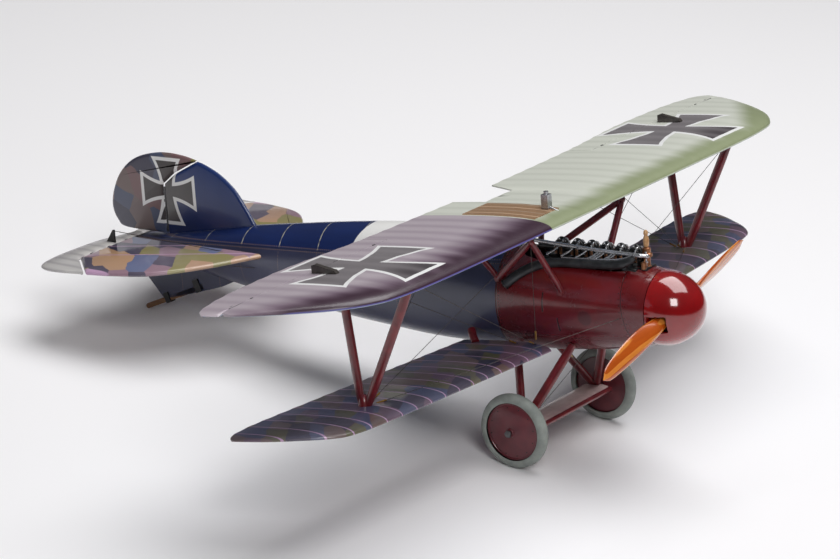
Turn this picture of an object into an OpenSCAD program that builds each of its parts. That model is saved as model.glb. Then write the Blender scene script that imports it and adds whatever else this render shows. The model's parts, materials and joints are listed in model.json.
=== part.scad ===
// Display model of a 1910s single-seat sesquiplane fighter, scale 1:32.
// Everything is drawn in the flight frame: X forward from the propeller plane, Y to port,
// Z up from the thrust line. place() then tilts the whole model onto its wheels and tail skid.

/* [Wings] */
// Span of the upper wing
upper_span = 282.8; // [278:0.2:288]
// Height of the upper wing chord line above the thrust line
upper_z = 29.4; // [28:0.1:31]
// Crown of the upper wing section above its chord line
upper_crown = 2.5; // [2:0.1:3]
// Span of the lower wings
lower_span = 268; // [262:0.5:274]
// Rise of the lower wing per millimetre of span
lower_dihedral = 0.04; // [0.03:0.005:0.05]
// Distance from the symmetry plane to the interplane struts
strut_y = 92; // [90:0.5:94]

/* [Controls] */
// Distance of the aileron hinge axis behind the propeller
aileron_hinge_x = 63.5; // [63:0.1:64]
// Distance of the elevator hinge axis behind the propeller
elevator_hinge_x = 205; // [204.8:0.1:205.4]
// Distance of the rudder hinge axis behind the propeller
rudder_hinge_x = 194.4; // [194.2:0.1:194.6]
// Radius of the hinge rods
rod_r = 0.35; // [0.3:0.01:0.38]
// Running clearance round rods, shaft and axle
running_gap = 0.05; // [0.03:0.01:0.08]

/* [Propeller] */
// Propeller radius
prop_r = 43.8; // [42:0.2:45]
// Parking angle of the propeller from the horizontal
prop_park = 13.7; // [0:0.1:20]
// Radius of the spinner
spinner_r = 11.5; // [11:0.1:11.8]
// Length of the spinner in front of the propeller plane
spinner_len = 9.6; // [8.5:0.1:11]
// Radius of the propeller shaft
shaft_r = 1.6; // [1.4:0.1:2]

/* [Undercarriage] */
// Outer radius of the tyres
tyre_r = 11.85; // [11.4:0.05:12.2]
// Distance from the symmetry plane to the wheel centres
wheel_y = 25.9; // [25:0.1:27]
// Axle height relative to the thrust line
axle_z = -36.5; // [-37:0.1:-36]
// Axle position behind the propeller
axle_x = 43.6; // [43:0.1:44.5]
// Radius of the axle
axle_r = 0.75; // [0.7:0.05:0.9]

/* [Hidden] */

red = "#7a1f22";
dark_red = "#5e1a20";
blue = "#26456f";
grey = "#9a9c9e";
black = "#202225";
silver = "#b9bcc0";
brass = "#b08a45";
wood = "#c8742a";
camouflage = "#8f7f68";
lilac = "#b9a9ad";

// ---- how the model stands ----
skid_tip = [-205.5, -20.9];
skid_r = 0.8;
axle_at = [-axle_x, axle_z];
reach = axle_at - skid_tip;
ground_angle = asin((tyre_r - skid_r) / norm(reach)) - atan2(reach[1], reach[0]);
ground_z = skid_tip[0] * sin(ground_angle) + skid_tip[1] * cos(ground_angle) - skid_r;
function standing_x(p) = p[0] * cos(ground_angle) - p[1] * sin(ground_angle);
front_x = max([for (p = spinner_profile()) standing_x([p[1], -p[0]])]);
rear_x = min([for (p = rudder_outline()) standing_x(p)]);
middle_x = (front_x + rear_x) / 2;

module place() {
    translate([-middle_x, 0, -ground_z]) rotate([0, -ground_angle, 0]) children();
}

// ---- shared shapes ----
function mix(a, b, t) = a + (b - a) * t;

// Value of column c at position v, from rows sorted by rising first column.
function row_before(rows, v) = max([for (i = [0:len(rows) - 2]) if (rows[i][0] <= v || i == 0) i]);
function value_at(rows, v, c) =
    let (i = row_before(rows, v), a = rows[i], b = rows[i + 1])
    mix(a[c], b[c], max(0, min(1, (v - a[0]) / (b[0] - a[0]))));

// Faces of one end of a loft, as a strip between the two halves of its ring.
function end_cap(first, n, turned) = [for (j = [0:floor((n - 1) / 2) - 1])
    let (quad = j + 1 == n - 2 - j ? [j, j + 1, n - 1 - j] : [j, j + 1, n - 2 - j, n - 1 - j],
        face = [for (k = quad) first + k])
    turned ? [for (k = [len(face) - 1:-1:0]) face[k]] : face];
// A closed solid through a row of rings that all have the same number of points.
module loft(rings) {
    n = len(rings[0]);
    m = len(rings);
    sides = [for (i = [0:m - 2], j = [0:n - 1])
        let (a = i * n + j, b = i * n + (j + 1) % n)
        each [[a, b, b + n], [a, b + n, a + n]]];
    polyhedron([for (r = rings) each r],
        concat(sides, end_cap(0, n, true), end_cap((m - 1) * n, n, false)), convexity = 8);
}

// Round tube along a path. A closed path joins its last point to its first.
function unit(v) = v / norm(v);
function path_way(p, i, closed) =
    let (n = len(p), before = closed ? (i + n - 1) % n : max(i - 1, 0),
        after = closed ? (i + 1) % n : min(i + 1, n - 1)) unit(p[after] - p[before]);
function tube_ring(p, i, r, sides, closed, flat) =
    let (way = path_way(p, i, closed), across = unit(cross(way, flat)), up = cross(across, way))
    [for (k = [0:sides - 1]) let (a = k * 360 / sides) p[i] + r * (cos(a) * across + sin(a) * up)];
module tube(p, r, sides = 12, flat = [0, 0, 1]) {
    loft([for (i = [0:len(p) - 1]) tube_ring(p, i, r, sides, false, flat)]);
}
module ring_tube(p, r, sides = 8) {
    n = len(p);
    polyhedron([for (i = [0:n - 1]) each tube_ring(p, i, r, sides, true, [0, 0, 1])],
        [for (i = [0:n - 1], j = [0:sides - 1])
            let (a = i * sides + j, b = i * sides + (j + 1) % sides,
                c = ((i + 1) % n) * sides + j, d = ((i + 1) % n) * sides + (j + 1) % sides)
            each [[a, b, d], [a, d, c]]], convexity = 8);
}

module both_sides() {
    children();
    mirror([0, 1, 0]) children();
}

// A round bar between two points.
module bar(a, b, r, sides = 24) {
    d = b - a;
    translate(a) rotate([0, acos(d[2] / norm(d)), atan2(d[1], d[0])])
        cylinder(r = r, h = norm(d), $fn = sides);
}

// A streamlined bar: chord and thickness of its section, the chord lying fore and aft.
function strut_section(chord, thick) = [for (i = [0:13]) let (a = i * 360 / 14)
    [chord / 2 * cos(a) - chord * 0.06 * (1 - cos(2 * a)), thick / 2 * sin(a)]];
module strut(a, b, chord, thick) {
    d = b - a;
    lean = atan2(d[0], d[2]);
    side = atan2(d[1], norm([d[0], d[2]]));
    translate(a) rotate([0, lean, 0]) rotate([-side, 0, 0])
        linear_extrude(norm(d)) polygon(strut_section(chord, thick));
}

// ---- wing sections ----
// Shape of a thin cambered section: t is 0 at the leading edge and 1 at the trailing edge.
function camber(t) = 4 * (sqrt(t) - t);
edge_half = 0.22;
function top_z(t, crown) = crown * camber(t) + edge_half * sqrt(t);
function low_z(t, crown) = -0.28 * crown * camber(t) * (1 - 2.2 * t) - edge_half * sqrt(t);
nose_steps = [0, 0.008, 0.03, 0.08, 0.18, 0.34, 0.55, 0.78, 1];

// Ring of a wing at span y between the leading edge and a cut, both measured along X.
function wing_ring(y, z, lead, trail, cut, crown) =
    let (chord = lead - trail, reach = (lead - cut) / chord, n = len(nose_steps) - 1,
        local = crown * chord / 47)
    concat([for (i = [n:-1:0]) let (t = nose_steps[i] * reach)
            [lead - t * chord, y, z + top_z(t, local)]],
        [for (i = [1:n]) let (t = nose_steps[i] * reach)
            [lead - t * chord, y, z + low_z(t, local)]]);
// Ring of a control surface from its nose to the trailing edge of the wing.
function flap_ring(y, z, lead, trail, nose, crown) =
    let (chord = lead - trail, from = (lead - nose) / chord, local = crown * chord / 47)
    concat([for (i = [4:-1:0]) let (t = mix(from, 1, i / 4)) [lead - t * chord, y, z + top_z(t, local)]],
        [for (i = [0:4]) let (t = mix(from, 1, i / 4)) [lead - t * chord, y, z + low_z(t, local)]]);

// Upper wing plan: y, leading edge, trailing edge.
tip_y = upper_span / 2;
upper_plan = [[0, -24.3, -62], [8, -24.3, -62], [11, -24.3, -71.5], [60, -24.4, -73],
    [91, -24.8, -75.6], [106, -26.2, -75.6], [113, -28.4, -75.4], [121.7, -34.6, -75],
    [130, -45.2, -73.9], [136, -54.9, -72.5], [139.2, -61.2, -71.2], [tip_y, -67.4, -68.6]];
function upper_lead(y) = value_at(upper_plan, y, 1);
function upper_trail(y) = value_at(upper_plan, y, 2);
aileron_in_y = 58;
// Distances from a hinge axis to the fixed wall in front of it and the moving nose behind it.
wall_gap = 0.5;
nose_gap = 0.85;
wall_x = -aileron_hinge_x + wall_gap;
nose_x = -aileron_hinge_x - nose_gap;
fixed_tip_y = 138.2;

function upper_ring(y, cut) =
    wing_ring(y, upper_z, upper_lead(y), upper_trail(y), cut ? wall_x : upper_trail(y), upper_crown);

// Lower wing plan: y, leading edge, trailing edge.
lower_tip_y = lower_span / 2;
lower_plan = [[12, -37.6, -70], [60, -38, -71], [100, -38.4, -71.8], [115, -40, -72],
    [120, -43.6, -71.9], [125, -50, -71.5], [130, -57.6, -70.6], [132.6, -63, -69.4],
    [lower_tip_y, -66.4, -67.6]];
lower_root_z = -14.9;
lower_crown = 2.3;
function lower_z(y) = lower_root_z + lower_dihedral * y;
function lower_ring(y) =
    let (lead = value_at(lower_plan, y, 1), trail = value_at(lower_plan, y, 2))
    wing_ring(y, lower_z(y), lead, trail, trail, lower_crown * 47 / 40);

// ---- fuselage ----
// Station along the body: distance behind the propeller, top, bottom, half width, widest height.
body_rows = [[6, 11.9, -11.9, 11.8, 0], [12, 12.5, -13.2, 12.7, 0], [25, 13, -15.2, 13.5, 0],
    [40, 13.7, -16.8, 13.9, 0], [56, 15.4, -17.6, 13.9, 0], [70, 17.2, -17.8, 13.6, 0],
    [86, 18.3, -17.6, 13.1, 0], [100, 17.9, -16.6, 12.4, 0.4], [119, 16.1, -14.9, 11.4, 1],
    [139, 13.7, -12.6, 10.3, 1.6], [159, 11.1, -9.8, 9.2, 2.2], [178, 8, -6.2, 8, 2.9],
    [194, 5.4, -1.6, 6.9, 3.4], [204.4, 4.2, 2.9, 6.1, 3.6]];
seam = 56;
skin = 0.7;
arc_steps = 10;
function body_point(s, a, inset) =
    let (w = value_at(body_rows, s, 3) - inset, mid = value_at(body_rows, s, 4),
        up = value_at(body_rows, s, 1) - mid - inset, down = mid - value_at(body_rows, s, 2) - inset)
    [-s, max(w, 0.2) * cos(a), mid + max(a > 0 ? up : down, 0.15) * sin(a)];
// Half of the hollow body at station s, from the keel up to the angle of the opening's edge.
function shell_ring(s, edge) =
    concat([for (i = [0:arc_steps]) let (a = mix(-90, edge, i / arc_steps)) body_point(s, a, 0)],
        [for (i = [arc_steps:-1:0]) let (a = mix(-90, edge, i / arc_steps)) body_point(s, a, skin)]);

// Openings in the top of the body, as the half width of the hole at each station.
engine_bay = [[6.9, 0], [7.2, 4.6], [8.6, 5.8], [12, 6.3], [46, 6.3], [50, 5.4], [53, 0]];
cockpit = [[61.6, 0], [62.4, 4.6], [66, 7.4], [72, 8.2], [78, 7.4], [82, 4.6], [82.8, 0]];
function hole(rows, s) = (s <= rows[0][0] || s >= rows[len(rows) - 1][0]) ? 0 : value_at(rows, s, 1);
function edge_angle(rows, s) = acos(min(1, hole(rows, s) / value_at(body_rows, s, 3)));

cowl_stations = [6, 6.9, 7.2, 8.6, 12, 16, 20, 25, 32, 40, 46, 50, 53, seam];
body_stations = [seam, 61.6, 62.4, 66, 72, 78, 82, 82.8, 86, 93, 100, 109, 119, 129, 139, 149,
    159, 168, 178, 186, 194, 199, 204.4];

module shell(stations, opening) {
    loft([for (s = stations) shell_ring(s, edge_angle(opening, s))]);
}

// ---- tail outlines, as X and Z or X and Y pairs ----
fin_hinge_gap = 0.55;
function fin_outline() = [[-157, 10.8], [-161, 17.3], [-164.9, 22.7], [-170.6, 27.3],
    [-176.6, 29.8], [-179.2, 30.1], [-189.2, 25.2], [-rudder_hinge_x + 0.9, 21.4],
    [-rudder_hinge_x + 0.9, 4.6], [-178, 7.2]];
function rudder_outline() = [[-rudder_hinge_x - 0.9, 5.6], [-rudder_hinge_x - 0.9, 22.2],
    [-189.8, 26.4], [-179.6, 31.4], [-184.7, 32.4], [-190.9, 33], [-196.7, 32.7],
    [-203.8, 31], [-209.2, 28.1], [-213.6, 23.6], [-216.6, 17.4], [-217.3, 12.4],
    [-215.6, 8.2], [-211.8, 6]];
function tailplane_outline() = [[-148, 8.2], [-150.4, 12], [-158.5, 26.5], [-169.9, 39.7],
    [-183.4, 44.8], [-191.6, 45.9], [-elevator_hinge_x + 0.9, 32.9],
    [-elevator_hinge_x + 0.9, 6.6], [-192, 7.1]];
function elevator_half() = [[-elevator_hinge_x - 0.9, 0], [-elevator_hinge_x - 0.9, 33.2],
    [-192.6, 46.7], [-201.6, 47.9], [-208.4, 47.5], [-212.6, 44], [-214.4, 36], [-214.6, 24],
    [-213.7, 13.5], [-211.4, 6.6], [-209.6, 0]];
function ventral_outline() = [[-168, -8.4], [-171.2, -8.8], [-184, -12.9], [-197.9, -16.4],
    [-203.8, -9.4], [-204.3, 2.4], [-188, -3.4]];
function mirrored(points) = [for (i = [len(points) - 1:-1:0]) [points[i][0], -points[i][1]]];
tail_z = 4;
tail_t = 1.5;

// A flat surface standing in the symmetry plane, given as X and Z pairs.
module upright(outline, thick) {
    rotate([90, 0, 0]) translate([0, 0, -thick / 2]) linear_extrude(thick) polygon(outline);
}
module level(outline, z, thick) {
    translate([0, 0, z - thick / 2]) linear_extrude(thick) polygon(outline);
}

// ---- nose and engine ----
function spinner_profile() = [for (i = [0:12]) let (a = i * 7.5)
    [spinner_r * cos(a), -3.4 + (spinner_len + 3.4) * sin(a)]];

// Ring that closes the front of the cowl and carries the shaft.
module nose_ring() {
    color(red) rotate([0, -90, 0]) difference() {
        translate([0, 0, 4.4]) cylinder(r1 = 11.5, r2 = 11.8, h = 1.6, $fn = 72);
        translate([0, 0, 4]) cylinder(r = shaft_r + running_gap, h = 3, $fn = 48);
    }
}

module cowl_left() {
    color(red) shell(cowl_stations, engine_bay);
}
module cowl_right() {
    color(red) mirror([0, 1, 0]) shell(cowl_stations, engine_bay);
}
module fuselage_left() {
    color(blue) shell(body_stations, cockpit);
}
module fuselage_right() {
    color(blue) mirror([0, 1, 0]) shell(body_stations, cockpit);
}

// Two long wooden beams from the nose ring to the seam, with cross pieces.
bearer_y = 6.4;
bearer_z = -2.6;
module engine_bearers() {
    color("#a98a5c") {
        both_sides() translate([-58, bearer_y - 0.8, bearer_z - 1.2]) cube([52, 1.6, 2.4]);
        for (x = [-20, -48]) translate([x, -bearer_y, bearer_z - 1]) cube([1.6, 2 * bearer_y, 1.6]);
    }
}

engine_front = 8;
cylinder_pitch = 5.9;
cylinder_count = 6;
function cylinder_x(i) = -13.2 - cylinder_pitch * i;
module crankcase() {
    color(black) difference() {
        union() {
            translate([-49, -5.5, -6.5]) cube([40, 11, 10.5]);
            rotate([0, -90, 0]) translate([0, 0, 6]) cylinder(r = 4.6, h = 3.4, $fn = 48);
        }
        rotate([0, -90, 0]) translate([0, 0, 5.9]) cylinder(r = shaft_r + running_gap, h = 5, $fn = 48);
    }
}

// Six separate cylinders with water jackets and cooling flanges.
module cylinders() {
    color(black) for (i = [0:cylinder_count - 1]) translate([cylinder_x(i), 0, 4]) {
        cylinder(r = 2.35, h = 9.4, $fn = 36);
        for (k = [0:2]) translate([0, 0, 1.6 + 3 * k]) cylinder(r = 2.7, h = 0.6, $fn = 36);
    }
}

// Camshaft housing lying along the cylinder heads.
cam_z = 15.4;
module cam_housing() {
    color(black) {
        translate([-47, 0, cam_z]) rotate([0, 90, 0]) cylinder(r = 1.3, h = 37.5, $fn = 32);
        for (i = [0:cylinder_count - 1])
            translate([cylinder_x(i) - 1.2, -1.7, 13.4]) cube([2.4, 3.4, 1.8]);
    }
}

// Rocker boxes, levers and valve springs above each cylinder.
module rocker_arms() {
    color(silver) for (i = [0:cylinder_count - 1], e = [-1, 1]) {
        translate([cylinder_x(i) + e * 1.2, -2.3, cam_z + 1.6]) rotate([-90, 0, 0])
            cylinder(r = 0.62, h = 4.6, $fn = 20);
        translate([cylinder_x(i) + e * 1.2, -2.1, 13.4]) cylinder(r = 0.42, h = 3.4, $fn = 16);
        translate([cylinder_x(i) + e * 1.2, 2.1, 13.4]) cylinder(r = 0.42, h = 3.4, $fn = 16);
    }
}

// Exhaust log along the starboard side, its tail swept down and aft.
log_y = -6.6;
exhaust_path = [[-10.2, log_y + 1.5, 16], [-12, log_y + 0.6, 15], [-15, log_y, 14.1], [-22, log_y, 13.4],
    [-34, log_y - 0.6, 12.9], [-40, log_y - 1.5, 12.4], [-44.5, log_y - 3.2, 11],
    [-48.6, log_y - 5.3, 8.7], [-52, log_y - 7.1, 6]];
module exhaust_manifold() {
    color(black) {
        tube(exhaust_path, 1.4);
        for (i = [0:cylinder_count - 1])
            bar([cylinder_x(i), -1.8, 12], [cylinder_x(i), log_y, 13.2], 0.8);
    }
}

// Silver tube above the exhaust, and the slanted pipes between the two.
rail_a = [-9.4, -4.9, 17.2];
rail_b = [-47, -4.9, 18.2];
module water_rail() {
    color(silver) {
        tube([rail_a, rail_b, [-49.4, -3.6, 17.8], [-50.4, -1.4, 17.2]], 0.6);
    }
}
pipe_count = 7;
module inlet_pipes() {
    color(silver) for (i = [0:pipe_count - 1]) let (x = -13.6 - 4.7 * i)
        bar([x, -5, 17], [x - 3, log_y, 14.2], 0.3, 16);
}

// Upright drive shaft and pump at the front of the engine.
module cam_drive() {
    color(brass) {
        translate([-9, 0, 4]) cylinder(r = 1.1, h = 12, $fn = 32);
        translate([-9, 0, 15.4]) cylinder(r = 1.7, h = 2.4, $fn = 32);
        translate([-9, 0, 17.8]) cylinder(r1 = 0.9, r2 = 0.55, h = 3.6, $fn = 24);
        translate([-9, 0, 21.4]) cylinder(r = 0.85, h = 1, $fn = 24);
    }
}

module prop_shaft() {
    color(silver) rotate([0, -90, 0]) translate([0, 0, -2.6]) cylinder(r = shaft_r, h = 12.2, $fn = 48);
}

// Blade plan: radius, width of the leading half, width of the trailing half, twist, thickness.
blade_rows = [[6, 1.9, 1.9, 52, 3.2], [10, 2.2, 2.4, 42, 2.6], [16, 2.5, 3.2, 32, 2],
    [23, 2.6, 3.7, 25, 1.6], [30, 2.5, 3.6, 20, 1.3], [37, 2.1, 3, 17, 1], [41.5, 1.5, 2, 15, 0.8],
    [prop_r, 0.5, 0.6, 14, 0.5]];
function blade_ring(r) =
    let (front = value_at(blade_rows, r, 1), back = value_at(blade_rows, r, 2),
        twist = value_at(blade_rows, r, 3), t = value_at(blade_rows, r, 4))
    [for (i = [0:11]) let (a = -i * 30,
        u = cos(a) > 0 ? front * cos(a) : back * cos(a), v = t / 2 * sin(a) * (sin(a) > 0 ? 1.1 : 0.6))
        [v * cos(twist) + u * sin(twist), r, u * cos(twist) - v * sin(twist)]];
blade_radii = [6, 8, 10, 13, 16, 19.5, 23, 26.5, 30, 33.5, 37, 39.5, 41.5, 42.9, prop_r];
module propeller() {
    color(wood) rotate([prop_park, 0, 0]) {
        for (s = [0, 180]) rotate([s, 0, 0]) loft([for (r = blade_radii) blade_ring(r)]);
        rotate([0, 90, 0]) difference() {
            translate([0, 0, -2.2]) cylinder(r = 6.4, h = 4.4, $fn = 48);
            translate([0, 0, -2.4]) cylinder(r = shaft_r, h = 5, $fn = 48);
        }
    }
}

// Hollow ogive with two slots for the blades.
module spinner() {
    color(red) rotate([prop_park, 0, 0]) difference() {
        rotate([0, 90, 0]) rotate_extrude($fn = 96)
            polygon(concat(spinner_profile(), [for (i = [12:-1:0]) let (p = spinner_profile()[i])
                [max(0, p[0] - 0.8), min(p[1], spinner_len - 0.9 - 0.08 * (12 - i))]]));
        for (s = [0, 180]) rotate([s, 0, 0]) translate([-3.5, 4, -2.8]) cube([6.2, 12, 5.6]);
    }
}
module spinner_backplate() {
    color(dark_red) rotate([0, -90, 0]) difference() {
        translate([0, 0, 3.4]) cylinder(r = spinner_r, h = 0.7, $fn = 72);
        translate([0, 0, 3]) cylinder(r = shaft_r, h = 2, $fn = 48);
    }
}

// ---- cockpit ----
module cockpit_floor() {
    color("#a98a5c") translate([-88, -7.5, -9]) cube([32, 15, 1]);
}
module pilot_seat() {
    color("#8a5a34") {
        translate([-80, -4, -3]) cube([8, 8, 1]);
        translate([-81, -4.7, -3]) cube([1.4, 9.4, 10]);
        both_sides() translate([-80, 3.9, -3]) cube([8, 0.8, 4]);
        both_sides() translate([-79, 3, -8]) cube([6, 0.7, 5.5]);
    }
}
module control_stick() {
    color(black) {
        bar([-68, 0, -8], [-69.5, 0, 3], 0.35, 16);
        bar([-69.5, -1.6, 3], [-69.5, 1.6, 3], 0.4, 16);
    }
}
module instrument_panel() {
    color("#8a5a34") translate([-61, 0, 6]) rotate([0, -90, 0]) difference() {
        cylinder(r = 7.4, h = 0.8, $fn = 48);
        translate([-9, -9, -1]) cube([9, 18, 3]);
        for (y = [-3.6, 0, 3.6]) translate([3.2, y, 0.5]) cylinder(r = 1.2, h = 1, $fn = 24);
    }
}

// Rolled leather edge round the cockpit opening.
rim_count = 36;
function rim_point(i) = let (a = i * 360 / rim_count, s = 72.2 + 10.2 * cos(a),
    w = 8.1 * sin(a), top = value_at(body_rows, s, 1), half = value_at(body_rows, s, 3))
    [-s, w, top * sqrt(1 - pow(w / half, 2)) + 0.3];
module cockpit_coaming() {
    color("#7a4a28") ring_tube([for (i = [0:rim_count - 1]) rim_point(i)], 0.55);
}
module windscreen() {
    color("#c8d4dc", 0.5) translate([-60.6, 0, 15.2]) rotate([0, -28, 0]) rotate([90, 0, 90])
        linear_extrude(0.4) polygon([for (a = [0:10:180]) [4.4 * cos(a), 4.8 * sin(a)]]);
}

// ---- wings ----
module upper_wing() {
    color(lilac) both_sides() loft(concat(
        [for (y = [0, 8, 11, 22, 34, 46, aileron_in_y - 0.35]) upper_ring(y, false)],
        [for (y = [aileron_in_y - 0.3, 70, 80, 91, 98, 106, 109.5, 113, 117.4, 121.7, 126, 130, 133,
            136, fixed_tip_y]) upper_ring(y, true)]));
}
function aileron_ring(y) =
    flap_ring(y, upper_z, upper_lead(y), upper_trail(y), min(nose_x, upper_lead(y) - 0.1), upper_crown);
module aileron_solid() {
    color(lilac) loft([for (y = [aileron_in_y, 70, 80, 91, 98, 106, 113, 121.7, 130, 134, 136.6,
        138.6, 140.4, tip_y]) aileron_ring(y)]);
}
module aileron_left() {
    aileron_solid();
}
module aileron_right() {
    mirror([0, 1, 0]) aileron_solid();
}

// Hinge axis of the ailerons, in the middle of the section.
hinge_t = (aileron_hinge_x - 24.6) / 51.2;
aileron_axis_z = upper_z + (top_z(hinge_t, upper_crown) + low_z(hinge_t, upper_crown)) / 2;
bracket_ys = [64, 84, 104, 124];
tab_ys = [60, 74, 94, 114, 132];
module aileron_tube() {
    color(silver) {
        translate([-aileron_hinge_x, 59, aileron_axis_z]) rotate([-90, 0, 0])
            cylinder(r = rod_r, h = 76, $fn = 24);
        for (y = tab_ys) translate([-aileron_hinge_x - 1.2, y, aileron_axis_z - 0.25]) cube([1.2, 1.2, 0.5]);
    }
}
module aileron_tube_left() {
    aileron_tube();
}
module aileron_tube_right() {
    mirror([0, 1, 0]) aileron_tube();
}

// Crank plates on the ailerons stand behind these fixed fairings.
crank_y = 97.3;
module crank_fairings() {
    color(black) both_sides() translate([0, crank_y + 0.8, 0]) rotate([90, 0, 0])
        linear_extrude(1.6) polygon([[-61.7, 30.7], [-61.7, 33.3], [-60.7, 33.7], [-53.6, 32.5], [-53, 31.8], [-53, 31]]);
}

// Small eyes with real bores that hold the aileron, elevator and rudder rods.
eye_r = 0.62;
module eye(h) {
    difference() {
        union() {
            cylinder(r = eye_r, h = h, $fn = 32);
            translate([0, -0.25, 0]) cube([1.3, 0.5, h]);
        }
        translate([0, 0, -1]) cylinder(r = rod_r + running_gap, h = h + 2, $fn = 32);
    }
}
module hinge_brackets() {
    color(silver) {
        both_sides() for (y = bracket_ys)
            translate([-aileron_hinge_x, y, aileron_axis_z]) rotate([-90, 0, 0]) eye(0.8);
        both_sides() for (y = [9, 18, 27])
            translate([-elevator_hinge_x, y, tail_z]) rotate([-90, 0, 0]) eye(0.8);
        for (z = [7, 13, 19]) translate([-rudder_hinge_x, 0, z]) eye(0.8);
    }
}

// Copper and brass core panel let into the wing on the starboard side.
module radiator() {
    color(brass) translate([0, -13, 0]) rotate([90, 0, 0]) linear_extrude(14)
        polygon([[-57, 28.7], [-31, 28.7], [-31, 31.95], [-37, 32.1], [-44, 32], [-50, 31.65], [-57, 31.15]]);
}
module header_tank() {
    color(silver) translate([-34.2, -15, 31.8]) {
        translate([-1.2, -1.2, 0]) cube([2.4, 2.4, 4.6]);
        translate([0, 0, 4.6]) cylinder(r = 0.8, h = 0.9, $fn = 24);
        bar([0, 0, 1], [4.6, 0, -0.6], 0.35, 16);
    }
}

module lower_wing() {
    color(camouflage) loft([for (y = [12, 24, 38, 54, 70, 86, 100, 108, 115, 117.5, 120, 122.5, 125,
        127.5, 130, 132.6, lower_tip_y]) lower_ring(y)]);
}
module lower_wing_left() {
    lower_wing();
}
module lower_wing_right() {
    mirror([0, 1, 0]) lower_wing();
}

// ---- struts ----
cabane_apex = [-33.3, 26.3, 24.5];
cabane_top_front = [-33.6, 27.8, 29.3];
cabane_top_rear = [-63, 27, 29.5];
cabane_low_front = [-32.4, 12.4, 5.2];
cabane_low_rear = [-55.4, 12.2, 7.2];
module cabane() {
    color(dark_red) {
        strut(cabane_low_front, cabane_apex, 2.2, 1.3);
        strut(cabane_low_rear, cabane_apex, 2, 1.2);
        strut(cabane_low_rear, cabane_top_rear, 2, 1.2);
        tube([cabane_apex - [0, 0.4, 1], cabane_apex, cabane_top_front], 1);
    }
}
module cabane_left() {
    cabane();
}
module cabane_right() {
    mirror([0, 1, 0]) cabane();
}

strut_foot = [-51, strut_y, lower_z(strut_y) + 0.8];
module interplane() {
    color(dark_red) {
        strut(strut_foot + [0.8, 0, 0], [-31.2, strut_y, 30], 3, 1.7);
        strut(strut_foot - [0.8, 0, 0], [-56.4, strut_y, 29.8], 3, 1.7);
        translate(strut_foot - [0, 0, 0.4]) cylinder(r = 1.5, h = 3.4, $fn = 32);
    }
}
module interplane_left() {
    interplane();
}
module interplane_right() {
    mirror([0, 1, 0]) interplane();
}

// ---- tail ----
module tailplane() {
    color(camouflage) level(tailplane_outline(), tail_z, tail_t);
}
module tailplane_left() {
    tailplane();
}
module tailplane_right() {
    mirror([0, 1, 0]) tailplane();
}
module elevator() {
    color(camouflage) level(concat(elevator_half(), mirrored(elevator_half())), tail_z, 1.3);
}
module elevator_rod() {
    color(silver) {
        translate([-elevator_hinge_x, -32, tail_z]) rotate([-90, 0, 0]) cylinder(r = rod_r, h = 64, $fn = 24);
        both_sides() for (y = [13, 22, 31])
            translate([-elevator_hinge_x - 1.2, y, tail_z - 0.25]) cube([1.2, 1, 0.5]);
    }
}
horn_y = 14;
module elevator_horns() {
    color(black) both_sides() translate([0, horn_y + 0.35, 0]) rotate([90, 0, 0]) linear_extrude(0.7)
        polygon([[-209.5, tail_z + 0.5], [-206.6, tail_z + 4.8], [-206, tail_z + 4.8],
            [-205.9, tail_z - 4.4], [-206.5, tail_z - 4.4]]);
}
module fin() {
    color(blue) upright(fin_outline(), 1.6);
}
module rudder() {
    color(camouflage) upright(rudder_outline(), 1.5);
}
module rudder_post() {
    color(silver) {
        translate([-rudder_hinge_x, 0, 5.8]) cylinder(r = rod_r, h = 15.4, $fn = 24);
        for (z = [6, 10, 16]) translate([-rudder_hinge_x - 1.2, -0.25, z]) cube([1.2, 0.5, 0.9]);
    }
}
module ventral_fin() {
    color(blue) upright(ventral_outline(), 1.6);
}

// Wooden skid: a straight bar with a rounded shoe on the ground.
skid_top = [-181, -11.6];
skid_rise = atan2(skid_top[1] - skid_tip[1], skid_top[0] - skid_tip[0]);
module tail_skid() {
    color(wood) translate([skid_tip[0], 0, skid_tip[1]]) rotate([0, -skid_rise, 0]) {
        rotate([90, 0, 0]) translate([0, 0, -0.8]) cylinder(r = skid_r, h = 1.6, $fn = 32);
        translate([0, -0.8, -skid_r]) cube([26, 1.6, 1.7]);
    }
}
module skid_fittings() {
    color(black) translate([skid_tip[0], 0, skid_tip[1]]) rotate([0, -skid_rise, 0]) {
        difference() {
            translate([8.6, -1.3, -1.3]) cube([2, 2.6, 3.6]);
            translate([8.4, -0.8, -skid_r]) cube([3, 1.6, 1.7]);
        }
        difference() {
            translate([22.6, -1.3, -1.3]) cube([2.4, 2.6, 4.4]);
            translate([22.4, -0.8, -skid_r]) cube([3, 1.6, 1.7]);
        }
    }
}

// ---- undercarriage ----
gear_foot = [-axle_x, wheel_y - 4.6, axle_z];
module gear() {
    color(dark_red) difference() {
        union() {
            strut(gear_foot, [-31.4, 9.4, -12.4], 3, 1.7);
            strut(gear_foot, [-52.4, 8.6, -15.6], 3, 1.7);
            translate(gear_foot - [0, 1, 0]) rotate([-90, 0, 0]) cylinder(r = 1.9, h = 2, $fn = 32);
        }
        translate(gear_foot - [0, 4, 0]) rotate([-90, 0, 0]) cylinder(r = axle_r, h = 8, $fn = 32);
    }
}
module gear_left() {
    gear();
}
module gear_right() {
    mirror([0, 1, 0]) gear();
}
module axle() {
    color(silver) {
        translate([-axle_x, -wheel_y - 3.4, axle_z]) rotate([-90, 0, 0])
            cylinder(r = axle_r, h = 2 * wheel_y + 6.8, $fn = 32);
        both_sides() translate([-axle_x, wheel_y + 3.4, axle_z]) rotate([-90, 0, 0])
            cylinder(r = 1.15, h = 0.7, $fn = 6);
    }
}
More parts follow.
